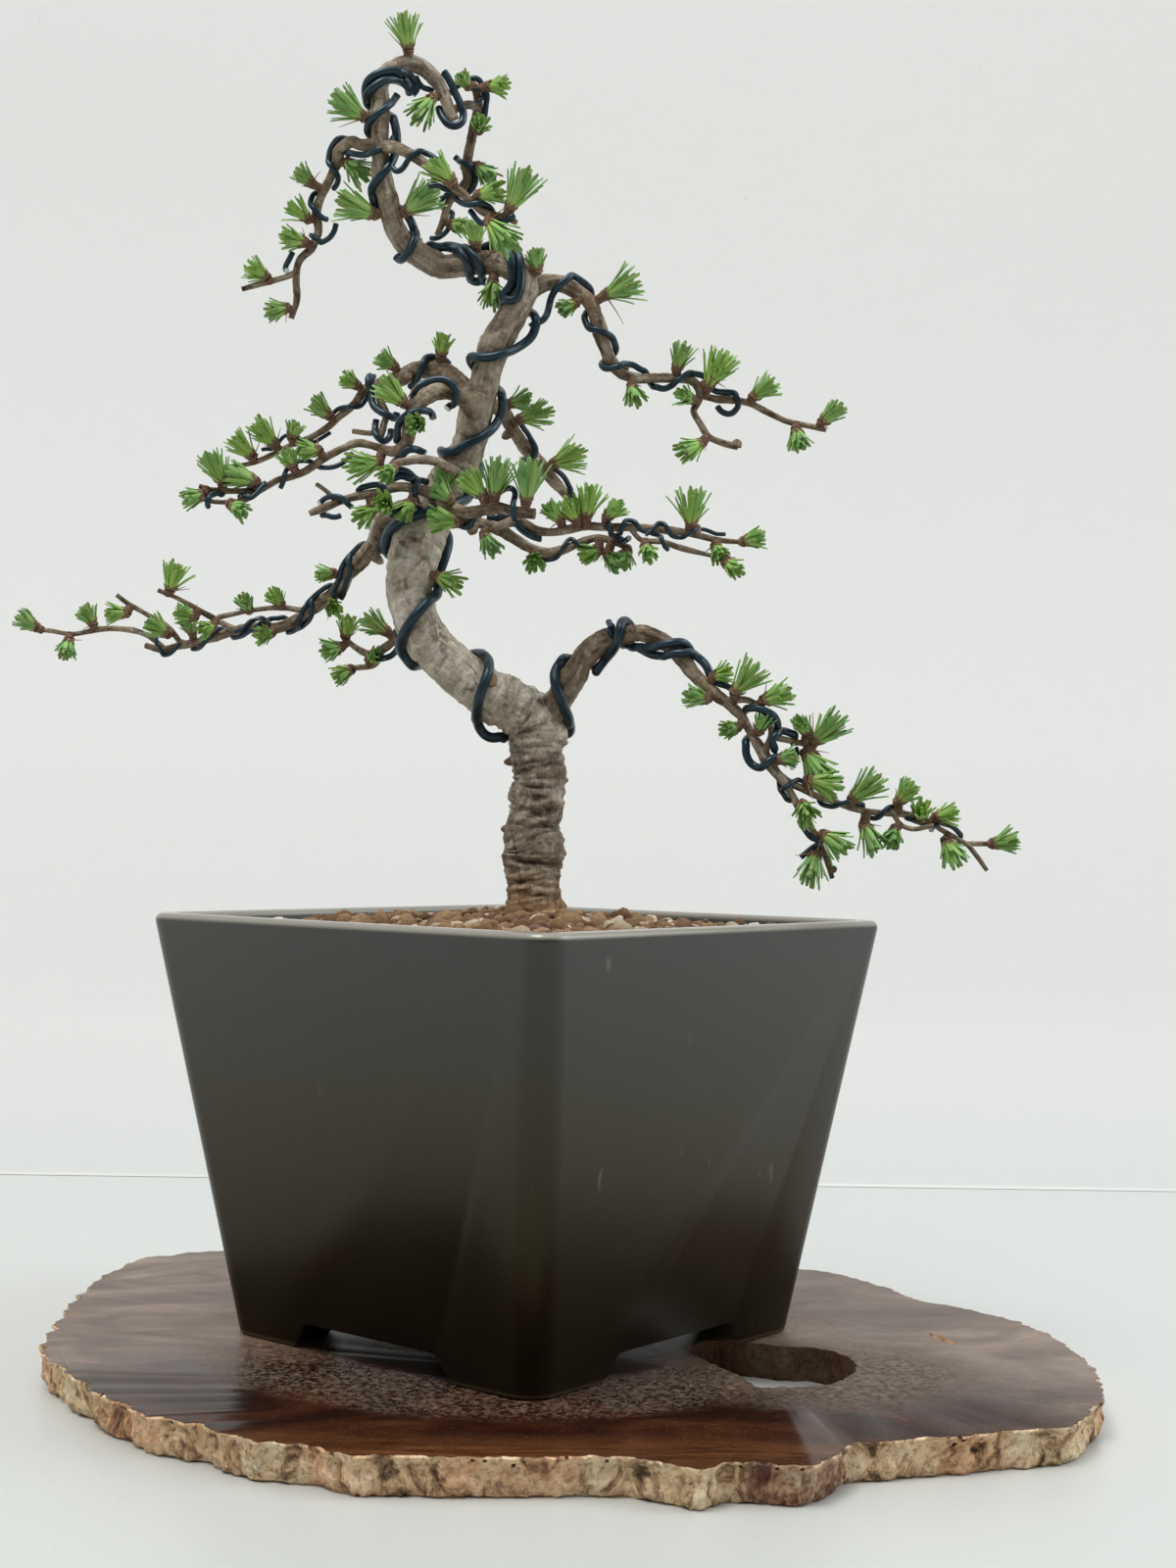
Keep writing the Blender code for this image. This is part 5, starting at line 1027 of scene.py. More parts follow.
def dress(made, slot, *nodes):
    """Rides the piece on the part's one body and hides the node it replaces; the slot is not used."""
    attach(made, "root")
    if nodes:
        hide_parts(*nodes)
    return made


def frames(line):
    """(centre, radius, ahead, side, other, run) along a line, with no twist."""
    rows = []
    side = None
    run = 0.0
    for i, (centre, radius) in enumerate(line):
        ahead = (line[min(i + 1, len(line) - 1)][0] - line[max(i - 1, 0)][0]).normalized()
        side = across(ahead, side if side is not None else Vector((0.31, 1.0, 0.17)))
        if i:
            run += (centre - line[i - 1][0]).length
        rows.append((centre, radius, ahead, side, ahead.cross(side), run))
    return rows


def tube(shape, line, sides, relief=None, tint=(0, 0, 0, 0), end_tint=None, seed=0.0):
    """A closed tube. relief(place, run, radius) gives how far bark stands out and how dark it is there."""
    rows = frames(line)
    points, tints, grains = [], [], []
    for centre, radius, _, side, other, run in rows:
        for k in range(sides):
            turn = math.tau * k / sides
            out = turned(side, other, turn)
            place = Vector((radius * math.cos(turn) + seed, radius * math.sin(turn), run))
            raised, shade = relief(place, run, radius) if relief else (0.0, 0.0)
            points.append(centre + out * (radius + raised))
            tints.append((shade, tint[1], tint[2], tint[3]))
            grains.append(tuple(place))
    faces = bands(len(rows), sides)
    last = (len(rows) - 1) * sides
    for first, row, flipped in ((0, rows[0], True), (last, rows[-1], False)):
        start = len(points)
        end = end_tint or tint
        for k in range(sides):
            points.append(points[first + k])
            tints.append(end)
            grains.append(grains[first + k])
        points.append(row[0])
        tints.append(end)
        grains.append((0.0, 0.0, row[5]))
        middle = len(points) - 1
        for k in range(sides):
            corner = (start + k, start + (k + 1) % sides, middle)
            faces.append(corner[::-1] if flipped else corner)
    shape.add(points, faces, tints, grains)


# Wood


def trunk_relief(place, run, radius):
    """Crusty rings low down, pale checked bark at the first bend, long fissures higher up."""
    low = held((RINGED_TO - run) / RINGED_FADE)
    high = held((run - FISSURED_FROM) / FISSURED_FADE)
    rings = noise.fractal(stretched(place, 110, 470), 0.7, 2.1, 4)
    knobs = max(noise.noise(place * 150) - 0.10, 0.0)
    fissure = noise.fractal(stretched(place, 520, 75), 0.9, 2.0, 3)
    checks = noise.fractal(stretched(place, 150, 420), 1.0, 2.0, 2)
    crumbs = lumps(place, 900)
    raised = low * (0.75 * rings + 2.9 * knobs + 0.22 * crumbs)
    middle = (1 - low) * (1 - high)
    bulges = max(noise.noise(place * 95) - 0.16, 0.0)
    raised += middle * (0.42 * checks + 0.34 * fissure + 0.20 * crumbs + 2.2 * bulges)
    raised += high * (0.90 * fissure + 0.38 * checks + 0.18 * crumbs + 5.0 * bulges)
    shade = low * (0.5 - 0.55 * rings) + middle * (0.42 - 0.45 * checks) + high * (0.5 - 0.5 * fissure)
    return raised * MM * min(radius / FULL_BARK, 1.0), held(shade)


def branch_relief(place, run, radius):
    """Long fissures, with a knobbly scar every few millimetres."""
    fissure = noise.fractal(stretched(place, 800, 130), 0.9, 2.0, 2)
    swell = noise.noise(stretched(place, 120, 150))
    scar = noise.noise(stretched(place, 260, 620))
    raised = radius * (0.12 * fissure + 0.17 * swell + 0.09 * scar)
    return raised, held(0.5 - 0.5 * fissure - 0.25 * scar)


def spur_relief(place, run, radius):
    """The stacked rings of bud scars on a short shoot."""
    ringed = math.sin(math.tau * run / SPUR_RINGS)
    crumbs = noise.noise(place * 900)
    return radius * (0.09 * ringed + 0.10 * crumbs), held(0.5 - 0.4 * ringed - 0.3 * crumbs)


def knob_relief(place, run, radius):
    """The crumbly bark of a dead spur."""
    crumbs = lumps(place, 420)
    return 0.22 * radius * crumbs, held(0.5 - 0.5 * crumbs)


# Tint channels on wood: shade in the cracks, cut face, spur, distance up the tree
CUT = (0.3, 1.0, 0.0, 0.0)
DRY_TIP = (0.7, 0.0, 0.8, 0.5)


def wood_sides(line):
    """How many sides a branch is drawn with, from its thickest place."""
    thickest = max(radius for _, radius in line)
    return 30 if thickest > 0.0035 else 20 if thickest > 0.002 else 14


def nearest_on(lines, px, py):
    """The line, and the place on it, that is seen nearest a pixel."""
    best = None
    for line in lines:
        for i, (point, _) in enumerate(line):
            seen = pixel(point)
            off = math.hypot(seen[0] - px, seen[1] - py)
            if best is None or off < best[0]:
                best = (off, line, i)
    return best[1], best[2]


def stub(shape, lines, reading, seed):
    """A short cut stub or dry spur that stands out of the wood towards a pixel."""
    px, py, width = reading
    line, place = nearest_on(lines, px, py)
    root, radius = line[place]
    seen = sight(px, py, -root.y / MM) - root
    thick = 0.5 * width * (root.y - EYE.y) / FOCAL_PX
    out = seen
    if out.length < radius + STUB_STANDS:
        out = 0.7 * seen + Vector((0.0, -radius - STUB_PUSH, 0.0))
    sawn = width >= SAWN_WIDTH
    path = []
    for i in range(STUB_STEPS + 1):
        part = i / STUB_STEPS
        ease = 1.0 if sawn else math.sqrt(max(1.0 - max((part - 0.55) / 0.45, 0.0) ** 2, 0.04))
        path.append((root + out * part, thick * (1.2 - 0.3 * part) * ease))
    tube(shape, path, 14, knob_relief, (0, 0, 0.35, 0.5), CUT if sawn else DRY_TIP, seed)


# Tufts


def any_side(axis, draw):
    """A direction drawn at random, square to the axis."""
    return across(axis, Vector((draw.uniform(-1, 1), draw.uniform(-1, 1), draw.uniform(-1, 1))))


def needle(shape, start, aim, out, length, width, bend, tint):
    """One flat, blunt, slightly bowed needle."""
    flat = across(aim, out)
    beside = aim.cross(flat)
    points, tints = [], []
    for part, share in NEEDLE_SHARES:
        centre = start + aim * (length * part) + flat * (bend * length * part * part)
        half, thick = 0.5 * width * share, 0.5 * NEEDLE_THICK * (0.7 + 0.3 * share)
        for wide, deep in ((half, 0.0), (0.0, thick), (-half, 0.0), (0.0, -0.8 * thick)):
            points.append(centre + beside * wide + flat * deep)
            tints.append((part, *tint))
    last = len(points) - 4
    faces = [(3, 2, 1, 0), *bands(len(NEEDLE_SHARES), 4), (last, last + 1, last + 2, last + 3)]
    shape.add(points, faces, tints)


def whisker(shape, start, aim, length, draw):
    """A dry old needle, thin as a hair."""
    lean = any_side(aim, draw)
    line = []
    for i in range(5):
        centre = start + aim * (length * i / 4) + lean * (0.15 * length * (i / 4) ** 2)
        line.append((centre, WHISKER_RADIUS - WHISKER_TAPER * i))
    tube(shape, line, 4, None, (0.75, 0.0, 1.0, 0.4))


def scale_leaf(shape, base, axis, out, size):
    """A papery bud scale at the foot of the needles."""
    beside = axis.cross(out)
    low, high = base + out * (0.80 * size), base + out * (1.28 * size) + axis * (1.25 * size)
    mid = base + out * (1.14 * size) + axis * (0.5 * size)
    wide = 0.42 * size
    points = [low - beside * wide, low + beside * wide, mid + beside * wide, mid - beside * wide, high]
    points += [point - out * SCALE_THICK for point in points]
    faces = [(0, 1, 2, 3), (3, 2, 4), (8, 7, 6, 5), (9, 7, 8)]
    faces += [(1, 0, 5, 6), (2, 1, 6, 7), (4, 2, 7, 9), (3, 4, 9, 8), (0, 3, 8, 5)]
    shape.add(points, faces, [(0.35, 0.0, 0.75, 0.4)] * 10)


def tuft(wood, green, lines, reading, draw, seed):
    """A ringed spur, its bud scales, and a brush of needles that spreads like a fan."""
    px, py, tip_px, tip_py, size = reading
    line, place = nearest_on(lines, px, py)
    root, radius = line[place]
    flat = sight(tip_px, tip_py, 0) - sight(px, py, 0)
    flat.y = 0.0
    longest = NEEDLE_REACH * (0.35 + 0.65 * size)
    reach = min(max(flat.length / 0.93, 0.62 * longest), longest)
    if flat.length > 0.96 * reach:
        flat *= 0.96 * reach / flat.length
    axis = (flat - Vector((0.0, math.sqrt(reach**2 - flat.length_squared), 0.0))).normalized()
    stood = axis.y * (radius + SPUR_STAND)
    base = sight(px, py, -root.y / MM - stood / MM)
    if (base - root).length < radius + SPUR_STAND:
        base = root + (base - root + 0.4 * radius * axis).normalized() * (radius + SPUR_STAND)
    spur = (base - root).normalized()
    if spur.angle(axis) > math.radians(75):
        axis = (axis + spur).normalized()
    crown = min(SPUR_RADIUS, 0.00125 + 0.0006 * size)
    stem = [root, root + (base - root) * 0.6, base, base + axis * 0.0006]
    widths = [0.85 * crown, 0.86 * crown, 1.08 * crown, 0.9 * crown]
    knots = [np.array((*point, width)) for point, width in zip(stem, widths)]
    spur_line = [(Vector(row[:3]), float(row[3])) for row in smooth_rows(knots, 0.00027)]
    tube(wood, spur_line, 14, spur_relief, (0, 0, 1.0, 0.4), (0.6, 0.0, 1.0, 0.4), seed)
    hint = any_side(axis, draw)
    other = axis.cross(hint)
    for k in range(BUD_SCALES):
        turn = math.tau * (k + draw.uniform(-0.2, 0.2)) / BUD_SCALES
        out = turned(hint, other, turn)
        scale_leaf(wood, base, (axis + out * draw.uniform(-0.1, 0.35)).normalized(), out, crown)
    count = int(round(15 + 13 * size))
    spread = math.radians(draw.uniform(22, 30))
    hue = draw.random()
    for k in range(count):
        part = (k + 0.5) / count
        turn = EVEN_TURN * k + draw.uniform(-0.25, 0.25)
        out = turned(hint, other, turn)
        lean = spread * part**0.6 + math.radians(draw.uniform(-4, 5))
        aim = turned(axis, out, lean).normalized()
        start = base + out * (0.78 * crown * math.sqrt(part)) + axis * 0.0002
        length = reach * draw.uniform(0.80, 1.0) * (1.0 if part < 0.7 else draw.uniform(0.60, 0.95))
        bend = draw.uniform(-0.05, 0.16)
        tint = (draw.random(), hue, part)
        needle(green, start, aim, out, length, NEEDLE_WIDTH * draw.uniform(0.85, 1.15), bend, tint)
    for _ in range(draw.choice((0, 1, 1, 2))):
        lean = math.radians(draw.uniform(35, 80))
        turn = draw.uniform(0, math.tau)
        out = turned(hint, other, turn)
        aim = turned(axis, out, lean).normalized()
        whisker(wood, base + out * 0.7 * crown, aim, reach * draw.uniform(0.4, 0.75), draw)


def all_stems(trunk_step, branch_step):
    """The lines of wood of the trunk and of each branch."""
    lines = {"trunk": [wood_line(TRUNK, trunk_step)]}
    for name, (tables, _) in BRANCHES.items():
        lines[name] = [wood_line(table, branch_step) for table in tables]
    return lines


def make_plant(bark, foliage):
    """Each leafy stem as two pieces: its wood with the spurs, and its needles."""
    lines = all_stems(TRUNK_STEP, BRANCH_STEP)
    readings = {"trunk": TRUNK_TUFTS, **{name: tufts for name, (_, tufts) in BRANCHES.items()}}
    for index, (name, stems) in enumerate(lines.items()):
        draw = random.Random(name)
        plain = name.replace("branch_", "")
        wood, green = Shape(plain + "_wood"), Shape(plain + "_needles")
        for i, line in enumerate(stems):
            seed = 0.37 * index + 0.05 * i
            if name == "trunk":
                tube(wood, line, TRUNK_SIDES, trunk_relief, (0, 0, 0, 0), CUT, seed)
            else:
                tube(wood, line, wood_sides(line), branch_relief, (0, 0, 0, 0.6), CUT, seed)
        for i, reading in enumerate(STUBS.get(name, ())):
            stub(wood, stems, reading, 0.71 * index + 0.03 * i)
        for i, reading in enumerate(readings[name]):
            tuft(wood, green, stems, reading, draw, 0.53 * index + 0.04 * i)
        dress(wood.piece(bark, 80), "bark", name)
        dress(green.piece(foliage, 80), "foliage", name)


# Wires


def traced_wire(stems, radius, readings):
    """A wire through places seen in the picture, lying on the wood where it passes in front or behind."""
    knots = []
    for px, py, face in readings:
        line, place = nearest_on(stems, px, py)
        root, thick = line[place]
        away = (sight(px, py, -root.y / MM) - root).length
        deep = face * math.sqrt(max((thick + radius) ** 2 - away**2, 0.0))
        knots.append(np.array(sight(px, py, (deep - root.y) / MM)))
    rows = smooth_rows(knots, WIRE_STEP)
    wood = np.array([(*point, thick) for line in stems for point, thick in line])
    for _ in range(3):
        for i, row in enumerate(rows):
            offs = row - wood[:, :3]
            apart = np.linalg.norm(offs, axis=1)
            k = int(np.argmin(apart - wood[:, 3]))
            short = wood[k, 3] + radius + WIRE_CLEAR - apart[k]
            if short > 0:
                rows[i] = row + offs[k] / max(apart[k], 1e-6) * short
        rows[1:-1] = 0.25 * rows[:-2] + 0.5 * rows[1:-1] + 0.25 * rows[2:]
    return [(Vector(row), radius) for row in rows]


def rounded_ends(line):
    """Draws the first and last step of a wire in a little, so that a cut end has a soft burr."""
    start, end = line[0], line[-1]
    first = (start[0] + (line[1][0] - start[0]) * 0.2, start[1])
    last = (end[0] + (line[-2][0] - end[0]) * 0.2, end[1])
    return [(start[0], 0.86 * start[1]), first, *line[1:-1], last, (end[0], 0.86 * end[1])]


def make_wires(look):
    """One piece for each wire node, from all the strands that belong to it."""
    stems = all_stems(WOOD_STEP, WOOD_STEP)
    for node, strands in STRANDS.items():
        shape = Shape(node.replace("wire_", "") + "_wire")
        for owners, radius, readings in strands:
            held = [line for owner in owners for line in stems[owner]]
            line = rounded_ends(traced_wire(held, radius * MM, readings))
            tube(shape, line, WIRE_SIDES, None, (0, 0, 0, 0), (0, 1.0, 0, 0))
        dress(shape.piece(look, 50), "wire", node)


# The pot


def square_ring(side, height, corner, steps=CORNER_STEPS):
    """A rounded square, turned so that one corner faces the viewer."""
    points = []
    half = side / 2 - corner
    for quarter in range(4):
        base = math.radians(-135 + 90 * quarter)
        middle = Vector((half * math.sqrt(2) * math.cos(base), half * math.sqrt(2) * math.sin(base)))
        for k in range(steps):
            turn = base - math.radians(45) + math.radians(90) * k / (steps - 1)
            points.append(middle + corner * Vector((math.cos(turn), math.sin(turn))))
    spin = POT_TURN + math.radians(45)
    cos, sin = math.cos(spin), math.sin(spin)
    return [Vector((p.x * cos - p.y * sin, p.x * sin + p.y * cos, height)) for p in points]


def pot_side(height):
    """The pot's outer width at a height above its feet."""
    return POT_FOOT_SIDE + (POT_TOP_SIDE - POT_FOOT_SIDE) * height / POT_HEIGHT


def loft_object(name, rings, look):
    """A closed object through rings of as many points each, the lowest first."""
    count = len(rings[0])
    points = [tuple(point) for each in rings for point in each]
    faces = [tuple(range(count))[::-1], *bands(len(rings), count)]
    faces.append(tuple(range((len(rings) - 1) * count, len(rings) * count)))
    mesh = bpy.data.meshes.new(name)
    mesh.from_pydata(points, [], faces)
    made = shown(name, mesh, look)
    outward(made)
    return made


def outward(obj):
    """Turns every face of a closed mesh outwards."""
    shape = bmesh.new()
    shape.from_mesh(obj.data)
    bmesh.ops.recalc_face_normals(shape, faces=shape.faces)
    shape.to_mesh(obj.data)
    shape.free()


def applied(obj):
    """Replaces the object's mesh by what its modifiers make of it."""
    graph = bpy.context.evaluated_depsgraph_get()
    made = bpy.data.meshes.new_from_object(obj.evaluated_get(graph))
    obj.modifiers.clear()
    obj.data = made


def cut(obj, cutter):
    """Takes one object out of another and removes it."""
    modifier = obj.modifiers.new("cut", "BOOLEAN")
    modifier.operation = "DIFFERENCE"
    modifier.object = cutter
    modifier.material_mode = "TRANSFER"
    applied(obj)
    bpy.data.objects.remove(cutter, do_unlink=True)


def make_pot(look):
    """The pot again, with softer edges at its foot, rim and mouth, and arches with eased corners."""
    top = POT_BASE + POT_HEIGHT
    mouth = POT_TOP_SIDE - 2 * POT_WALL
    inner_floor = FOOT_HEIGHT + POT_FLOOR
    rings = []
    for k in range(5):
        ease = math.radians(90 * k / 4)
        side = pot_side(0) - FOOT_EASE + FOOT_EASE * math.sin(ease)
        rings.append(square_ring(side, POT_BASE + FOOT_LIFT * (1 - math.cos(ease)), POT_CORNER))
    rings.append(square_ring(pot_side(POT_HEIGHT - RIM_EASE), top - RIM_EASE, POT_CORNER))
    for k in range(1, 6):
        ease = math.radians(90 * k / 5)
        side = pot_side(POT_HEIGHT - RIM_EASE) - RIM_NARROWS * (1 - math.cos(ease))
        height = top - RIM_EASE + RIM_EASE * math.sin(ease)
        rings.append(square_ring(side, height, POT_CORNER - MM * k / 5))
    pot = loft_object("pot_body", rings, look)
    inside = [
        square_ring(pot_side(inner_floor) - 2 * POT_WALL, POT_BASE + inner_floor, INNER_CORNER),
        square_ring(mouth, top - MOUTH_EASE, INNER_CORNER),
    ]
    for k in range(1, 5):
        ease = math.radians(90 * k / 4)
        side = mouth + MOUTH_FLARE * (1 - math.cos(ease))
        inside.append(square_ring(side, top - MOUTH_EASE + MOUTH_EASE * math.sin(ease), MOUTH_CORNER))
    inside.append(square_ring(mouth + MOUTH_FLARE, top + 0.002, MOUTH_CORNER))
    cut(pot, loft_object("hollow", inside, look))
    cut_arches(pot, look)
    cut_floor(pot, inner_floor, look)
    bevel = pot.modifiers.new("eased", "BEVEL")
    bevel.width = POT_BEVEL
    bevel.segments = 2
    bevel.limit_method = "ANGLE"
    bevel.angle_limit = math.radians(40)
    applied(pot)
    pot.data.shade_smooth()
    pot.data.set_sharp_from_angle(angle=math.radians(32))
    dress(pot, "pot", "pot")


def cut_arches(pot, look):
    """Two arches right through the foot, across each other, which leave four feet."""
    for quarter in range(2):
        spin = POT_TURN + math.radians(45 + 90 * quarter)
        along = Vector((math.cos(spin), math.sin(spin), 0.0))
        beside = Vector((-math.sin(spin), math.cos(spin), 0.0))
        profile = []
        half = ARCH_WIDTH / 2
        for sign in (-1, 1):
            corner = [(half + ARCH_SLANT + 0.0015, -PAST), (half + ARCH_SLANT, 0.0)]
            for k in range(5):
                turn = math.radians(90 * k / 4)
                x = half - ARCH_SLANT * 0.25 - ARCH_EASE * (1 - math.cos(turn))
                corner.append((x, FOOT_HEIGHT - ARCH_EASE * (1 - math.sin(turn))))
            if sign < 0:
                corner = corner[::-1]
            profile += [(sign * x, z) for x, z in corner]
        rings = []
        for reach in (-0.5, 0.5):
            end = along * POT_TOP_SIDE * reach
            rings.append([end + beside * x + Vector((0, 0, POT_BASE + z)) for x, z in profile])
        cut(pot, loft_object("arch", rings, look))


def cut_floor(pot, inner_floor, look):
    """The recess under the pot between its feet, and the holes through its floor."""
    recess = POT_FOOT_SIDE - 2 * FOOT_LEG
    hollow = [
        square_ring(recess, POT_BASE - PAST, INNER_CORNER),
        square_ring(recess - 0.003, POT_BASE + FOOT_HEIGHT - 0.0001, INNER_CORNER),
    ]
    cut(pot, loft_object("recess", hollow, look))
    turns = [math.tau * k / 32 for k in range(32)]
    for x, radius in DRAINS:
        rings = []
        for z in (POT_BASE + FOOT_HEIGHT - PAST, POT_BASE + inner_floor + PAST):
            circle = [(x + radius * math.cos(turn), radius * math.sin(turn), z) for turn in turns]
            rings.append([Vector(point) for point in circle])
        cut(pot, loft_object("drain", rings, look))


# The soil


def soil_height(x, y, half):
    """The mounded level of the soil at a place in the pot's own square."""
    part = min(max(abs(x), abs(y)) / half, 1.0)
    return POT_BASE + POT_HEIGHT - RIM_DROP + SOIL_MOUND * (1 - part) ** MOUND_SHAPE


def in_pot(x, y, z):
    """A place in the pot's own square, turned as the pot stands."""
    spin = POT_TURN + math.radians(45)
    cos, sin = math.cos(spin), math.sin(spin)
    return Vector((x * cos - y * sin, x * sin + y * cos, z))


def make_soil(bed_look, looks):
    """A dark bed filled to its level, covered with granules of three kinds."""
    half = POT_TOP_SIDE / 2 - POT_WALL - SOIL_CLEAR
    make_bed(bed_look, half)
    make_granules(looks, half)


def make_bed(look, half):
    """The body of the soil: a mounded top and plain sides that narrow to the pot's floor."""
    cells = BED_CELLS
    bed = Shape("soil_bed")
    points, tints = [], []
    for row in range(cells + 1):
        for column in range(cells + 1):
            x, y = half * (2 * column / cells - 1), half * (2 * row / cells - 1)
            z = soil_height(x, y, half) - BED_SUNK + 0.0009 * lumps(Vector((x, y, 0.3)), 320)
            points.append(in_pot(x * 0.995, y * 0.995, z))
            tints.append((0.5, 0, 0, 0))
    faces = []
    for row in range(cells):
        for column in range(cells):
            a = row * (cells + 1) + column
            faces.append((a, a + 1, a + cells + 2, a + cells + 1))
    edge = list(range(cells))
    edge += [(k + 1) * (cells + 1) - 1 for k in range(cells)]
    edge += [(cells + 1) ** 2 - 1 - k for k in range(cells)]
    edge += [(cells - k) * (cells + 1) for k in range(cells)]
    low = (pot_side(FOOT_HEIGHT + POT_FLOOR) / 2 - POT_WALL - SOIL_CLEAR) / half
    bottom = []
    for index in edge:
        bottom.append(len(points))
        points.append(Vector((points[index].x * low, points[index].y * low, POT_BASE + BED_BOTTOM)))
        tints.append((0.5, 0, 0, 0))
    count = len(edge)
    for k in range(count):
        following = (k + 1) % count
        faces.append((edge[following], edge[k], bottom[k], bottom[following]))
    faces.append(tuple(bottom[::-1]))
    bed.add(points, faces, tints)
    made = bed.piece(look)
    outward(made)
    dress(made, "soil", "soil")


def make_granules(looks, half):
    """Lumpy grains strewn over the bed, one piece for each kind."""
    draw = random.Random("granules")
    ball = bmesh.new()
    bmesh.ops.create_icosphere(ball, subdivisions=2, radius=1.0)
    ball_points = [vertex.co.copy() for vertex in ball.verts]
    ball_faces = [tuple(vertex.index for vertex in face.verts) for face in ball.faces]
    ball.free()
    kinds = {name: Shape(name) for name in looks}
    for row in range(int(2 * half / ROWS_APART) + 1):
        for column in range(int(2 * half / GRANULE_APART) + 1):
            even_x = -half + GRANULE_APART * (column + 0.5 * (row % 2))
            x = even_x + draw.uniform(-GRANULE_SHIFT, GRANULE_SHIFT)
            y = -half + ROWS_APART * row + draw.uniform(-GRANULE_SHIFT, GRANULE_SHIFT)
            pick = draw.random()
            radius = draw.uniform(*(SMALL_GRANULE if draw.random() < SMALL_SHARE else LARGE_GRANULE))
            limit = half - radius * 0.9
            if abs(x) > limit or abs(y) > limit:
                x, y = min(max(x, -limit), limit), min(max(y, -limit), limit)
            place = in_pot(x, y, soil_height(x, y, half))
            if math.hypot(place.x - TRUNK_FOOT[0], place.y - TRUNK_FOOT[1]) < TRUNK_CLEAR:
                continue
            stony = "granules_pumice" if pick < PUMICE_UP_TO else "granules_lava"
            name = "granules_clay" if pick < CLAY_UP_TO else stony
            place.z += draw.uniform(-0.45, 0.15) * radius - 0.0006
            angle = draw.uniform(0, math.tau)
            turn = Matrix.Rotation(angle, 3, Vector((draw.gauss(0, 1), draw.gauss(0, 1), 0.5)))
            stretch = Vector((1.0, draw.uniform(0.7, 1.0), draw.uniform(0.6, 0.9)))
            seed = Vector((draw.uniform(0, 50), draw.uniform(0, 50), 0))
            points = []
            for co in ball_points:
                bump = 1.0 + 0.22 * noise.noise(co * 1.4 + seed) + 0.10 * noise.noise(co * 3.6 + seed)
                local = Vector((co.x * stretch.x, co.y * stretch.y, co.z * stretch.z)) * bump * radius
                points.append(place + turn @ local)
            tint = (draw.random(), draw.random(), 0, 0)
            kinds[name].add(points, ball_faces, [tint] * len(points))
    for name, shape in kinds.items():
        dress(shape.piece(looks[name], 70), "soil")


# The slab


def make_slab(top_look, edge_look):
    """The burl slice: a flat polished top, a scalloped live edge and a ragged hole right through."""
    slab = loft_object("slab_body", slab_rings(), top_look)
    slab.data.materials.append(edge_look)
    for face in slab.data.polygons:
        if abs(face.normal.z) < 0.75 or face.center.z < 0.001:
            face.material_index = 1
    cut(slab, loft_object("hole", hole_rings(), edge_look))
    cut(slab, loft_object("crack", crack_rings(), edge_look))
    slab.data.shade_smooth()
    slab.data.set_sharp_from_angle(angle=math.radians(42))
    dress(slab, "slab", "display_slab")


def slab_rings():
    """The slab's outline at each layer, with the bark's teeth, flutes and crust."""
    rim = [sight_level(px, py, SLAB_THICK) for px, py in SLAB_RIM_PX]
    rim += [Vector((x, y, SLAB_THICK)) for x, y in SLAB_BACK]
    rows = smooth_rows([np.array(point) for point in rim], SLAB_STEP, closed=True)
    count = len(rows)
    rings = []
    for height, inset in SLAB_LAYERS:
        level = []
        for k in range(count):
            along = Vector(rows[(k + 2) % count] - rows[k - 2]).normalized()
            inward = Vector((-along.y, along.x, 0.0))
            place = Vector((*rows[k][:2], height))
            ragged = 0.45 + 0.85 * held((0.02 - place.x) / 0.10)
            teeth = 1.0 - 2.2 * abs(noise.noise(Vector((place.x * 75, place.y * 75, height * 9 + 3.0))))
            flutes = lumps(Vector((place.x, place.y, height * 0.45)), 210, 3)
            crust = lumps(place, 430, 4)
            share = 0.45 if height == SLAB_THICK else 1.0
            out = 0.0019 * ragged * teeth + 0.0010 * flutes + 0.0011 * crust * share
            moved = place + inward * (inset - 0.0016 - out)
            level.append(Vector((moved.x, moved.y, height)))
        rings.append(level)
    return rings


def hole_rings():
    """The hole's outline at each height; lower down it is smaller and lies farther back."""
    rim = [np.array(sight_level(px, py, SLAB_THICK)) for px, py in SLAB_HOLE_PX]
    hole = smooth_rows(rim, HOLE_STEP, closed=True)
    middle = Vector(hole[:, :3].mean(axis=0))
    rings = []
    for height in HOLE_HEIGHTS:
        scale = 0.97 + 0.03 * max(height, 0.0) / SLAB_THICK
        back = HOLE_LEANS * (1.0 - held(height / SLAB_THICK))
        level = []
        for row in hole:
            out = Vector(row[:3]) - middle
            rough = 1.0 + 0.05 * lumps(Vector((row[0], row[1], height * 0.7)), 260, 3)
            point = middle + out * scale * rough + Vector((0.0, back, 0.0))
            level.append(Vector((point.x, point.y, height)))
        rings.append(level)
    return rings


def crack_rings():
    """A short drying crack in the top, narrower at its bottom."""
    outline = [sight_level(px, py, SLAB_THICK) for px, py in SLAB_CRACK_PX]
    centre = sum(outline, Vector()) / len(outline)
    rings = []
    for height, scale in ((SLAB_THICK - CRACK_DEEP, 0.35), (SLAB_THICK + 0.001, 1.0)):
        ring = [centre + (point - centre) * scale for point in outline]
        rings.append([Vector((point.x, point.y, height)) for point in ring])
    return rings


# Materials


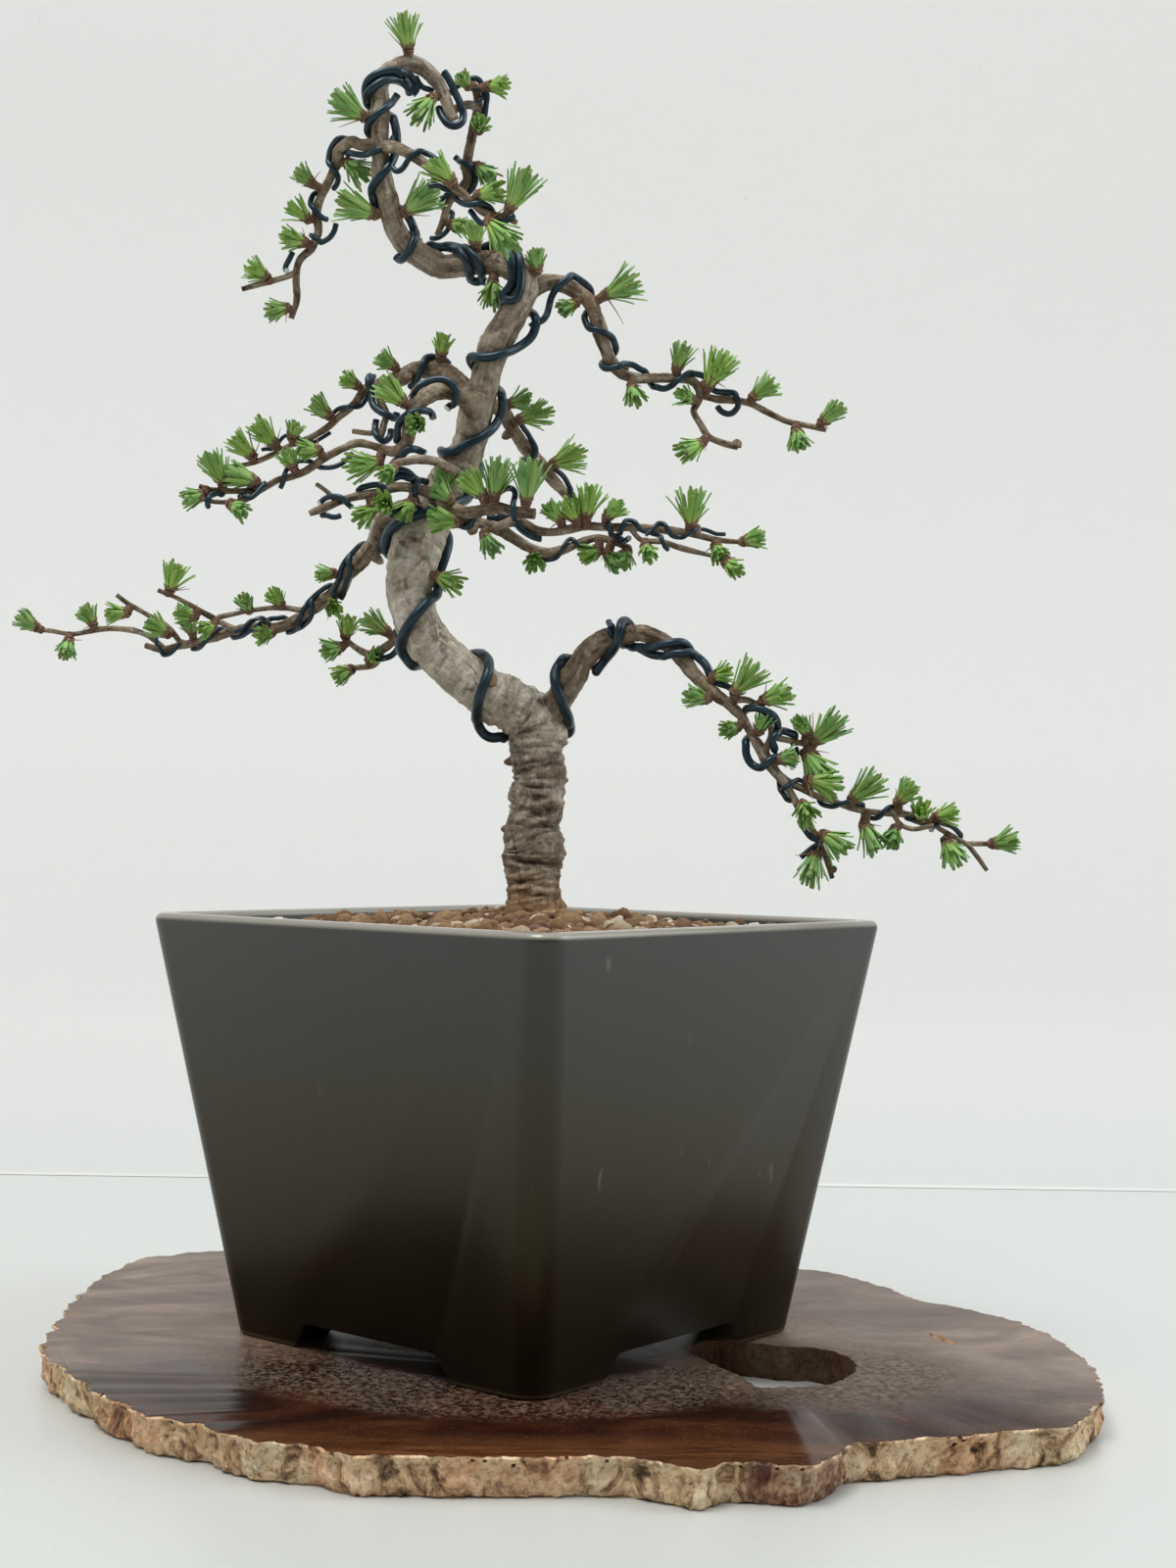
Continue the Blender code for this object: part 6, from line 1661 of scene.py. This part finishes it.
class Look:
    """A material whose nodes are added and joined by short calls."""

    def __init__(self, name, **plain):
        self.material = bpy.data.materials.new(name)
        self.material.use_nodes = True
        self.tree = self.material.node_tree
        self.shader = self.tree.nodes["Principled BSDF"]
        for socket, value in plain.items():
            self.shader.inputs[socket.replace("_", " ")].default_value = value

    def add(self, kind, out=0, settings=None, **inputs):
        """Adds a node and returns one of its outputs. Inputs are numbers, colours or other nodes' outputs."""
        node = self.tree.nodes.new("ShaderNode" + kind)
        for name, value in (settings or {}).items():
            setattr(node, name, value)
        for name, value in inputs.items():
            numbered = name[0] == "i" and name[1:].isdigit()
            socket = node.inputs[int(name[1:]) if numbered else name]
            if isinstance(value, bpy.types.NodeSocket):
                self.tree.links.new(value, socket)
            else:
                socket.default_value = value
        return node.outputs[out]

    def place(self, scale=(1.0, 1.0, 1.0)):
        """Metres in the part's own frame, stretched."""
        coords = self.add("TexCoord", out=3)
        return self.add("Mapping", i0=coords, i3=scale)

    def grain(self, scale=(1.0, 1.0, 1.0)):
        """The place on the unrolled bark, stretched."""
        coords = self.add("Attribute", out=1, settings={"attribute_name": "grain"})
        return self.add("Mapping", i0=coords, i3=scale)

    def axis(self, number):
        """One coordinate of a place, 0 to 2 for X to Z."""
        return self.add("SeparateXYZ", out=number, Vector=self.place())

    def distance(self, point, scale=(1.0, 1.0, 1.0)):
        """How far a place is from a point."""
        coords = self.place(scale)
        return self.add("VectorMath", out=1, settings={"operation": "DISTANCE"}, i0=coords, i1=point)

    def tint(self):
        """The four channels of the tint, as separate outputs."""
        node = self.tree.nodes.new("ShaderNodeAttribute")
        node.attribute_name = "tint"
        parts = self.tree.nodes.new("ShaderNodeSeparateColor")
        self.tree.links.new(node.outputs["Color"], parts.inputs[0])
        return parts.outputs[0], parts.outputs[1], parts.outputs[2], node.outputs["Alpha"]

    def noise(self, coords, scale, detail=3.0, rough=0.55, distortion=0.0):
        return self.add(
            "TexNoise", Vector=coords, Scale=scale, Detail=detail, Roughness=rough, Distortion=distortion
        )

    def ramp(self, factor, *stops):
        """A colour ramp through (place, colour) stops."""
        node = self.tree.nodes.new("ShaderNodeValToRGB")
        self.tree.links.new(factor, node.inputs[0])
        band = node.color_ramp
        while len(band.elements) < len(stops):
            band.elements.new(0.5)
        for element, (place, colour) in zip(band.elements, stops):
            element.position = place
            element.color = (*colour, 1.0) if len(colour) == 3 else colour
        return node.outputs[0]

    def steps(self, factor, low, high, bottom=0.0, top=1.0):
        """Maps low to high onto bottom to top, held at both ends."""
        return self.add("MapRange", i0=factor, i1=low, i2=high, i3=bottom, i4=top)

    def mix(self, factor, first, second, mode="MIX"):
        """The first colour where the factor is 0 and the second where it is 1."""
        node = self.tree.nodes.new("ShaderNodeMix")
        node.data_type = "RGBA"
        node.blend_type = mode
        for socket, value in ((node.inputs[0], factor), (node.inputs[6], first), (node.inputs[7], second)):
            if isinstance(value, bpy.types.NodeSocket):
                self.tree.links.new(value, socket)
            elif isinstance(value, tuple):
                socket.default_value = (*value, 1.0)
            else:
                socket.default_value = value
        return node.outputs[2]

    def times(self, colour, other):
        """A colour multiplied by another."""
        return self.mix(1.0, colour, other, "MULTIPLY")

    def math(self, operation, first, second=0.0):
        return self.add("Math", settings={"operation": operation}, i0=first, i1=second)

    def bump(self, height, strength, distance):
        """Relief up to a distance in metres."""
        normal = self.add("Bump", Height=height, Strength=strength, Distance=distance)
        self.tree.links.new(normal, self.shader.inputs["Normal"])

    def feed(self, socket, value):
        self.tree.links.new(value, self.shader.inputs[socket])


# Dark scars on the trunk: pixel x, pixel y, radius in metres
BARK_SCARS = (
    (423, 552, 0.0030), (506, 712, 0.0020), (440, 650, 0.0016), (452, 662, 0.0018), (553, 716, 0.0020),
)

# Colours along a ramp, each at its place
DARK_BARK = ((0.32, (0.200, 0.155, 0.115)), (0.52, (0.380, 0.320, 0.255)), (0.68, (0.58, 0.53, 0.45)))
PALE_BARK = ((0.30, (0.47, 0.410, 0.330)), (0.50, (0.74, 0.690, 0.585)), (0.66, (0.86, 0.83, 0.75)))
BROWN_BARK = ((0.30, (0.190, 0.135, 0.092)), (0.55, (0.370, 0.295, 0.215)), (0.72, (0.56, 0.48, 0.38)))
SPUR_BARK = ((0.1, (0.36, 0.22, 0.14)), (0.55, (0.155, 0.085, 0.056)), (0.9, (0.045, 0.024, 0.016)))
YELLOW_NEEDLE = (
    (0.0, (0.56, 0.62, 0.21)), (0.25, (0.42, 0.62, 0.125)),
    (0.6, (0.25, 0.48, 0.085)), (1.0, (0.155, 0.36, 0.075)),
)
BLUE_NEEDLE = (
    (0.0, (0.46, 0.55, 0.20)), (0.3, (0.27, 0.48, 0.135)),
    (0.65, (0.155, 0.37, 0.115)), (1.0, (0.095, 0.26, 0.090)),
)
BLUED_WIRE = ((0.35, (0.006, 0.014, 0.022)), (0.60, (0.011, 0.026, 0.038)), (0.80, (0.030, 0.048, 0.058)))
RED_BURL = (
    (0.32, (0.008, 0.0022, 0.0014)), (0.48, (0.020, 0.0050, 0.0026)),
    (0.60, (0.044, 0.0125, 0.0052)), (0.74, (0.085, 0.030, 0.013)),
)
TAN_BURL = (
    (0.30, (0.072, 0.040, 0.027)), (0.46, (0.130, 0.080, 0.055)),
    (0.60, (0.215, 0.145, 0.105)), (0.74, (0.320, 0.235, 0.175)),
)
LIVE_EDGE = (
    (0.34, (0.050, 0.032, 0.022)), (0.41, (0.330, 0.205, 0.110)),
    (0.48, (0.740, 0.530, 0.310)), (0.62, (0.920, 0.780, 0.540)),
)


def near_wood(px, py):
    """The place on the front of the trunk at this pixel."""
    line, index = nearest_on([wood_line(TRUNK, WOOD_STEP)], px, py)
    root, thick = line[index]
    return tuple(sight(px, py, (0.8 * thick - root.y) / MM))


def bark_look():
    """Dark and crusty at the foot, pale round the first bend, brown above the fork and on the twigs."""
    look = Look("bark", Roughness=0.84, Specular_IOR_Level=0.3)
    shade, cut_face, spur, twig = look.tint()
    patches = look.noise(look.place(), 110.0, 5.0, 0.62)
    fibres = look.noise(look.grain((1.0, 1.0, 0.16)), 1500.0, 4.0, 0.65)
    flakes = look.noise(look.grain((1.0, 1.0, 1.6)), 480.0, 5.0, 0.7)
    height = look.axis(2)
    plates = look.noise(look.grain((1.0, 1.0, 0.45)), 210.0, 6.0, 0.72, 0.8)
    dark = look.ramp(patches, *DARK_BARK)
    pale = look.ramp(patches, *PALE_BARK)
    brown = look.ramp(patches, *BROWN_BARK)
    base = look.mix(look.steps(height, KNEE_HEIGHT - 0.014, KNEE_HEIGHT), dark, pale)
    high = look.steps(height, FORK_HEIGHT - 0.035, FORK_HEIGHT + 0.03, 0.0, 0.75)
    base = look.mix(high, base, brown)
    base = look.mix(look.steps(twig, 0.0, 0.6), base, brown)
    base = look.mix(look.steps(height, FOOT_TOP, FOOT_TOP - 0.016), base, (0.50, 0.33, 0.180))
    base = look.mix(look.steps(flakes, 0.42, 0.60), look.times(base, (0.74, 0.70, 0.66)), base)
    base = look.mix(look.steps(flakes, 0.60, 0.72, 0.0, 0.45), base, (0.62, 0.58, 0.51))
    base = look.mix(look.steps(fibres, 0.36, 0.60), look.times(base, (0.78, 0.75, 0.71)), base)
    base = look.mix(look.steps(plates, 0.36, 0.46), look.times(base, (0.42, 0.36, 0.31)), base)
    base = look.mix(look.steps(plates, 0.56, 0.68, 0.0, 0.55), base, (0.72, 0.69, 0.62))
    # Painted shade: the bark is darkened in its cracks, where the relief's shade channel is high.
    crack = look.steps(shade, 0.50, 0.95)
    base = look.mix(crack, base, look.times(base, (0.20, 0.16, 0.13)))
    # Pale flakes and a painted highlight: the bark is lightened on the relief's crests.
    crest_flakes_and_highlight = look.math("MULTIPLY", look.steps(shade, 0.34, 0.10), 0.40)
    base = look.mix(crest_flakes_and_highlight, base, look.times(base, (1.7, 1.7, 1.7)))
    # On a spur this ramp follows the relief, painted shade between its rings; on bud scales, whiskers and dry
    # tips the tint picks their own colour.
    scales = look.ramp(shade, *SPUR_BARK)
    for px, py, size in BARK_SCARS:
        away = look.distance(near_wood(px, py))
        ragged = look.math("ADD", away, look.math("MULTIPLY", flakes, 0.004))
        inside = look.steps(ragged, size + 0.003, size + 0.001, 0.0, 0.85)
        base = look.mix(inside, base, (0.060, 0.040, 0.030))
    base = look.mix(spur, base, scales)
    rings = look.noise(look.grain((1.0, 1.0, 0.2)), 900.0, 2.0)
    sawn = look.ramp(rings, (0.35, (0.36, 0.24, 0.135)), (0.65, (0.58, 0.43, 0.27)))
    base = look.mix(cut_face, base, sawn)
    look.feed("Base Color", base)
    relief = look.math("ADD", look.math("MULTIPLY", fibres, 0.35), look.math("MULTIPLY", flakes, 0.5))
    look.bump(look.math("ADD", relief, plates), 0.85, 0.0015)
    return look.material


def foliage_look():
    """Pale at the needles' foot and darker to the tip, yellower in some tufts and bluer in others."""
    look = Look("foliage", Roughness=0.5, Specular_IOR_Level=0.35)
    look.shader.inputs["Subsurface Weight"].default_value = 0.25
    look.shader.inputs["Subsurface Scale"].default_value = 0.0012
    along, each, tuft_hue, _ = look.tint()
    colour = look.mix(tuft_hue, look.ramp(along, *YELLOW_NEEDLE), look.ramp(along, *BLUE_NEEDLE))
    light = look.mix(look.steps(each, 0.0, 1.0, 0.0, 0.45), colour, (0.42, 0.60, 0.19))
    look.feed("Base Color", light)
    ribs = look.noise(look.place(), 2600.0, 2.0)
    look.bump(ribs, 0.12, 0.0002)
    return look.material


def wire_look():
    """Anodised wire, nearly black, with bare metal where it is cut."""
    look = Look("wire", Specular_IOR_Level=0.5)
    look.shader.inputs["Coat Weight"].default_value = 0.12
    look.shader.inputs["Coat Roughness"].default_value = 0.18
    look.shader.inputs["Specular Tint"].default_value = (0.62, 0.84, 1.0, 1.0)
    _, cut_face, _, _ = look.tint()
    wear = look.noise(look.place(), 260.0, 4.0, 0.6)
    dark = look.ramp(wear, *BLUED_WIRE)
    look.feed("Base Color", look.mix(cut_face, dark, (0.62, 0.63, 0.63)))
    look.feed("Metallic", look.math("MULTIPLY", cut_face, 0.9))
    look.feed("Roughness", look.steps(wear, 0.3, 0.75, 0.28, 0.46))
    look.bump(wear, 0.10, 0.0003)
    return look.material


def pot_look():
    """Dark burnished clay with a painted pale sheen on the rim top, dusty specks and a pale foot."""
    look = Look("pot")
    cloud = look.noise(look.place((1.0, 1.0, 0.7)), 11.0, 3.0)
    fine = look.noise(look.place(), 900.0, 2.0)
    clay = look.ramp(cloud, (0.35, (0.0082, 0.0050, 0.0022)), (0.65, (0.0125, 0.0088, 0.0048)))
    clay = look.mix(look.steps(fine, 0.62, 0.74, 0.0, 0.5), clay, (0.034, 0.028, 0.020))
    specks = look.noise(look.place((1.0, 1.0, 0.55)), 120.0, 1.0)
    dusty = look.math("MULTIPLY", look.steps(specks, 0.735, 0.80, 0.0, 0.35), look.steps(cloud, 0.45, 0.60))
    clay = look.mix(dusty, clay, (0.30, 0.29, 0.27))
    height = look.axis(2)
    top = POT_BASE + POT_HEIGHT
    foot = look.steps(height, POT_BASE + 0.0016, POT_BASE + 0.0006)
    clay = look.mix(look.math("MULTIPLY", foot, 0.8), clay, (0.115, 0.085, 0.050))
    # Painted sheen: the top of the rim is painted pale, for its reflection of the bright surround.
    painted_rim_sheen = look.steps(height, top - 0.0022, top - 0.0012, 0.0, 0.85)
    look.feed("Base Color", look.mix(painted_rim_sheen, clay, (0.29, 0.27, 0.225)))
    look.feed("Specular IOR Level", look.steps(height, POT_BASE + 0.015, top, 0.20, 0.92))
    # Painted reflection colour: the specular tint is warm low down and cool near the rim.
    painted_reflection_warmth = look.steps(height, POT_BASE + 0.035, top - 0.01)
    look.feed("Specular Tint", look.mix(painted_reflection_warmth, (1.0, 0.80, 0.46), (0.94, 1.0, 0.98)))
    rim = look.steps(height, top - 0.0012, top - 0.0004, 0.0, 0.16)
    look.feed("Roughness", look.math("SUBTRACT", look.steps(cloud, 0.3, 0.7, 0.30, 0.38), rim))
    look.bump(fine, 0.10, 0.0004)
    return look.material


def slab_top_look():
    """Polished burl: dark red in the middle, tan outside, a dull scar by the hole, sand round the pot."""
    look = Look("slab_top")
    swirl = look.noise(look.place((1.0, 1.7, 1.0)), 15.0, 6.0, 0.62, 1.8)
    streak = look.noise(look.place((0.8, 3.4, 1.0)), 46.0, 6.0, 0.66, 1.1)
    pores = look.noise(look.place(), 1100.0, 3.0)
    middle = look.distance(SLAB_RED, (0.50, 1.0, 0.0))
    wander = look.math("MULTIPLY", look.noise(look.place(), 26.0, 5.0, 0.6), 0.05)
    outside = look.math("ADD", middle, wander)
    wood = look.mix(
        look.steps(outside, 0.085, 0.135), look.ramp(swirl, *RED_BURL), look.ramp(swirl, *TAN_BURL)
    )
    front = look.math("ADD", look.axis(1), look.math("MULTIPLY", streak, 0.03))
    band = look.steps(front, -0.108, -0.124, 0.0, 0.75)
    sapwood = look.ramp(streak, (0.35, (0.040, 0.012, 0.004)), (0.62, (0.150, 0.058, 0.020)))
    wood = look.mix(band, wood, sapwood)
    streaked = look.times(wood, (0.33, 0.28, 0.26))
    wood = look.mix(look.steps(streak, 0.34, 0.62, 0.34, 0.0), wood, streaked)
    wood = look.mix(look.steps(pores, 0.60, 0.72, 0.0, 0.25), wood, (0.22, 0.155, 0.11))
    frayed = look.math("MULTIPLY", look.noise(look.place(), 60.0, 4.0), 0.03)
    ragged = look.math("ADD", look.distance(SLAB_SCAR), frayed)
    scar = look.steps(ragged, 0.068, 0.040)
    grit = look.noise(look.place(), 480.0, 4.0, 0.65)
    speckle = look.ramp(grit, (0.38, (0.045, 0.030, 0.022)), (0.62, (0.190, 0.145, 0.112)))
    wood = look.mix(look.math("MULTIPLY", scar, 0.85), wood, speckle)
    ring = look.add("VectorMath", out=1, settings={"operation": "LENGTH"}, i0=look.place((1.0, 1.0, 0.0)))
    sand_band = look.math("MULTIPLY", look.steps(ring, 0.116, 0.100), look.steps(ring, 0.066, 0.080))
    sand_spots = look.steps(look.noise(look.place(), 620.0, 5.0, 0.75), 0.47, 0.64, 0.0, 0.75)
    sand = look.math("MULTIPLY", sand_band, sand_spots)
    wood = look.mix(sand, wood, (0.30, 0.205, 0.135))
    look.feed("Base Color", wood)
    matte = look.steps(outside, 0.085, 0.16, 0.0, 0.22)
    dull = look.math("ADD", look.math("MULTIPLY", scar, 0.35), look.math("MULTIPLY", sand, 0.4))
    worn = look.math("ADD", look.steps(streak, 0.3, 0.7, 0.17, 0.26), matte)
    look.feed("Roughness", look.math("ADD", worn, dull))
    look.feed("Specular IOR Level", look.steps(outside, 0.085, 0.16, 0.13, 0.46))
    relief = look.math("ADD", look.math("MULTIPLY", scar, grit), sand)
    look.bump(look.math("ADD", relief, look.math("MULTIPLY", streak, 0.04)), 0.35, 0.0006)
    return look.material


def slab_edge_look():
    """The pale live edge, much darker in and round the hole, and with one dark knot in front."""
    look = Look("slab_edge", Roughness=0.74, Specular_IOR_Level=0.35)
    mottle = look.noise(look.place((1.0, 1.0, 0.7)), 105.0, 6.0, 0.7, 1.2)
    fine = look.noise(look.place(), 520.0, 5.0, 0.7)
    tone = look.noise(look.place((1.0, 1.0, 0.4)), 24.0, 3.0)
    edge = look.ramp(mottle, *LIVE_EDGE)
    pink = look.times(edge, (1.0, 0.80, 0.74))
    edge = look.mix(look.steps(tone, 0.45, 0.60), edge, pink)
    edge = look.mix(look.steps(fine, 0.36, 0.50, 0.60, 0.0), edge, (0.120, 0.070, 0.042))
    # The edge is made much darker within a few centimetres of the hole's middle.
    darker_round_hole = look.steps(look.distance(SLAB_HOLE_MIDDLE), 0.050, 0.038)
    edge = look.mix(darker_round_hole, edge, look.times(edge, (0.17, 0.14, 0.12)))
    knot_way = look.math("ADD", look.distance(SLAB_KNOT), look.math("MULTIPLY", fine, 0.012))
    edge = look.mix(look.steps(knot_way, 0.025, 0.017), edge, (0.110, 0.026, 0.016))
    edge = look.mix(look.steps(knot_way, 0.018, 0.012), edge, (0.018, 0.010, 0.009))
    look.feed("Base Color", edge)
    look.bump(look.math("ADD", mottle, look.math("MULTIPLY", fine, 0.5)), 0.9, 0.0014)
    return look.material


def grain_look(name, dark, middle, light, rough):
    """A gritty stone, each grain somewhere between a dark and a light colour."""
    look = Look(name, Roughness=rough, Specular_IOR_Level=0.3)
    each, _, _, _ = look.tint()
    base = look.ramp(each, (0.0, dark), (0.5, middle), (1.0, light))
    dusty = look.noise(look.place(), 700.0, 4.0, 0.65)
    base = look.mix(look.steps(dusty, 0.40, 0.62, 0.4, 0.0), base, dark)
    base = look.mix(look.steps(dusty, 0.60, 0.74, 0.0, 0.4), base, light)
    look.feed("Base Color", base)
    look.bump(dusty, 0.6, 0.0006)
    return look.material


# The stage


# Painted light on the stage: the floor darker round the object and paler farther back, the wall paler higher
# up.
FLOOR_COLOUR = (0.545, 0.560, 0.540)
FAR_COLOUR = (0.705, 0.708, 0.690)
LOW_WALL_COLOUR = (0.775, 0.775, 0.755)
WALL_COLOUR = (0.860, 0.858, 0.840)
# Painted shade: the nearly black colour of the stage behind the viewer.
PAINTED_SHADE_SIDE = (0.055, 0.050, 0.042)
# Painted shade: the grey of the table's far-edge line.
PAINTED_SEAM_SHADE = (0.40, 0.41, 0.39)


def make_stage():
    """A pale floor that curves up far round the object, graded with painted light and shade, and a painted
    shade line for a table's far edge.
    """
    profile = [(0.0, 0.0), (0.3, 0.0), (0.8, 0.0), (FLOOR_FLAT, 0.0)]
    for turn in np.linspace(0.05, math.pi / 2, 22):
        out = FLOOR_FLAT + FLOOR_CURVE * math.sin(turn)
        profile.append((out, FLOOR_CURVE - FLOOR_CURVE * math.cos(turn)))
    profile.append((2.8, STAGE_TOP))
    around = STAGE_SIDES
    points = [(0.0, 0.0, 0.0)]
    for radius, height in profile[1:]:
        for k in range(around):
            turn = math.tau * k / around
            points.append((radius * math.cos(turn), radius * math.sin(turn), height))
    faces = [(0, 1 + k, 1 + (k + 1) % around) for k in range(around)]
    for i in range(len(profile) - 2):
        for k in range(around):
            a, b = 1 + i * around + k, 1 + i * around + (k + 1) % around
            faces.append((a, a + around, b + around, b))
    mesh = bpy.data.meshes.new("stage_floor")
    mesh.from_pydata(points, [], faces)
    look = Look("stage", Roughness=0.36, Specular_IOR_Level=0.3)
    where = look.place()
    away = look.add("SeparateXYZ", out=1, Vector=where)
    height = look.add("SeparateXYZ", out=2, Vector=where)
    # Painted light: the floor darker near the object, paler farther back and up the wall.
    ground = look.mix(look.steps(away, 0.40, 1.30), FLOOR_COLOUR, FAR_COLOUR)
    wall = look.mix(look.steps(height, 0.02, 0.30), ground, LOW_WALL_COLOUR)
    wall = look.mix(look.steps(height, 0.30, 2.20), wall, WALL_COLOUR)
    # Painted shade: the walls behind the viewer are painted nearly black, for an unlit room that glossy
    # pieces reflect.
    behind = look.math("MULTIPLY", look.steps(away, -0.7, -2.0), look.steps(height, 0.0, 0.5))
    shaded = look.mix(behind, wall, PAINTED_SHADE_SIDE)
    flecks = look.steps(look.noise(where, 330.0, 1.0), 0.755, 0.775, 0.0, 0.5)
    look.feed("Base Color", look.mix(flecks, shaded, (0.42, 0.40, 0.36)))
    mesh.shade_smooth()
    shown("stage_floor", mesh, look.material)
    # A grey strip painted on the floor as shade, for the line of a table's far edge.
    strip = bpy.data.meshes.new("stage_shade_line")
    left, right = (-SEAM_HALF, SEAM_HALF)
    near, far = SEAM_BACK, SEAM_BACK + SEAM_WIDE
    corners = [(left, near, SEAM_UP), (right, near, SEAM_UP), (right, far, SEAM_UP), (left, far, SEAM_UP)]
    strip.from_pydata(corners, [], [(0, 1, 2, 3)])
    line_look = Look("stage_shade_line", Roughness=0.6)
    shade = line_look.noise(line_look.place(), 2.0, 2.0)
    line_look.feed("Base Color", line_look.mix(shade, PAINTED_SEAM_SHADE, WALL_COLOUR))
    shown("stage_shade_line", strip, line_look.material)


def area_light(name, place, target, size, power, colour):
    """A round lamp at a place, turned to a target."""
    data = bpy.data.lights.new(name, "AREA")
    data.shape = "DISK"
    data.size = size
    data.energy = power
    data.color = colour
    made = bpy.data.objects.new(name, data)
    made.location = place
    made.rotation_euler = (Vector(target) - Vector(place)).to_track_quat("-Z", "Y").to_euler()
    bpy.context.scene.collection.objects.link(made)


def make_lights():
    """An even pale surround, a soft main lamp high on the left and a weaker one on the right."""
    scene = bpy.context.scene
    scene.view_settings.view_transform = "Standard"
    scene.view_settings.look = "None"
    world = bpy.data.worlds.new("studio")
    world.use_nodes = True
    background = world.node_tree.nodes["Background"]
    background.inputs["Color"].default_value = (0.96, 0.98, 1.0, 1.0)
    background.inputs["Strength"].default_value = 1.27
    scene.world = world
    area_light("key", (-0.5, -0.7, 2.1), (0, 0, 0.2), 1.0, 26.0, (1.0, 0.98, 0.95))
    area_light("side", (1.5, -0.1, 1.1), (0, 0, 0.2), 0.8, 9.0, (0.92, 0.97, 1.0))


def make_camera():
    """The camera at the eye, turned up and rolled as the picture was taken."""
    data = bpy.data.cameras.new("camera")
    data.sensor_width = SENSOR_MM
    data.sensor_fit = "AUTO"
    data.lens = FOCAL_PX / max(PICTURE) * SENSOR_MM
    data.clip_start = 0.01
    data.clip_end = 30.0
    made = bpy.data.objects.new("camera", data)
    ahead = Vector((0.0, math.cos(LOOK_UP), math.sin(LOOK_UP)))
    up = Vector((0.0, -math.sin(LOOK_UP), math.cos(LOOK_UP)))
    right = Vector((1.0, 0.0, 0.0))
    rolled_right = right * math.cos(ROLL) + up * math.sin(ROLL)
    rolled_up = up * math.cos(ROLL) - right * math.sin(ROLL)
    axes = Matrix((rolled_right, rolled_up, -ahead)).transposed()
    made.matrix_world = Matrix.Translation(EYE) @ axes.to_4x4()
    bpy.context.scene.collection.objects.link(made)
    bpy.context.scene.camera = made


make_camera()
make_lights()
make_stage()
make_slab(slab_top_look(), slab_edge_look())
make_pot(pot_look())
make_soil(
    grain_look("soil_bed", (0.05, 0.028, 0.015), (0.08, 0.045, 0.025), (0.12, 0.07, 0.04), 0.95),
    {
        "granules_clay": grain_look(
            "granules_clay", (0.105, 0.056, 0.028), (0.205, 0.120, 0.060), (0.36, 0.235, 0.125), 0.92
        ),
        "granules_pumice": grain_look(
            "granules_pumice", (0.34, 0.27, 0.19), (0.52, 0.44, 0.335), (0.70, 0.64, 0.54), 0.88
        ),
        "granules_lava": grain_look(
            "granules_lava", (0.045, 0.025, 0.020), (0.105, 0.055, 0.040), (0.19, 0.11, 0.08), 0.9
        ),
    },
)
make_plant(bark_look(), foliage_look())
make_wires(wire_look())
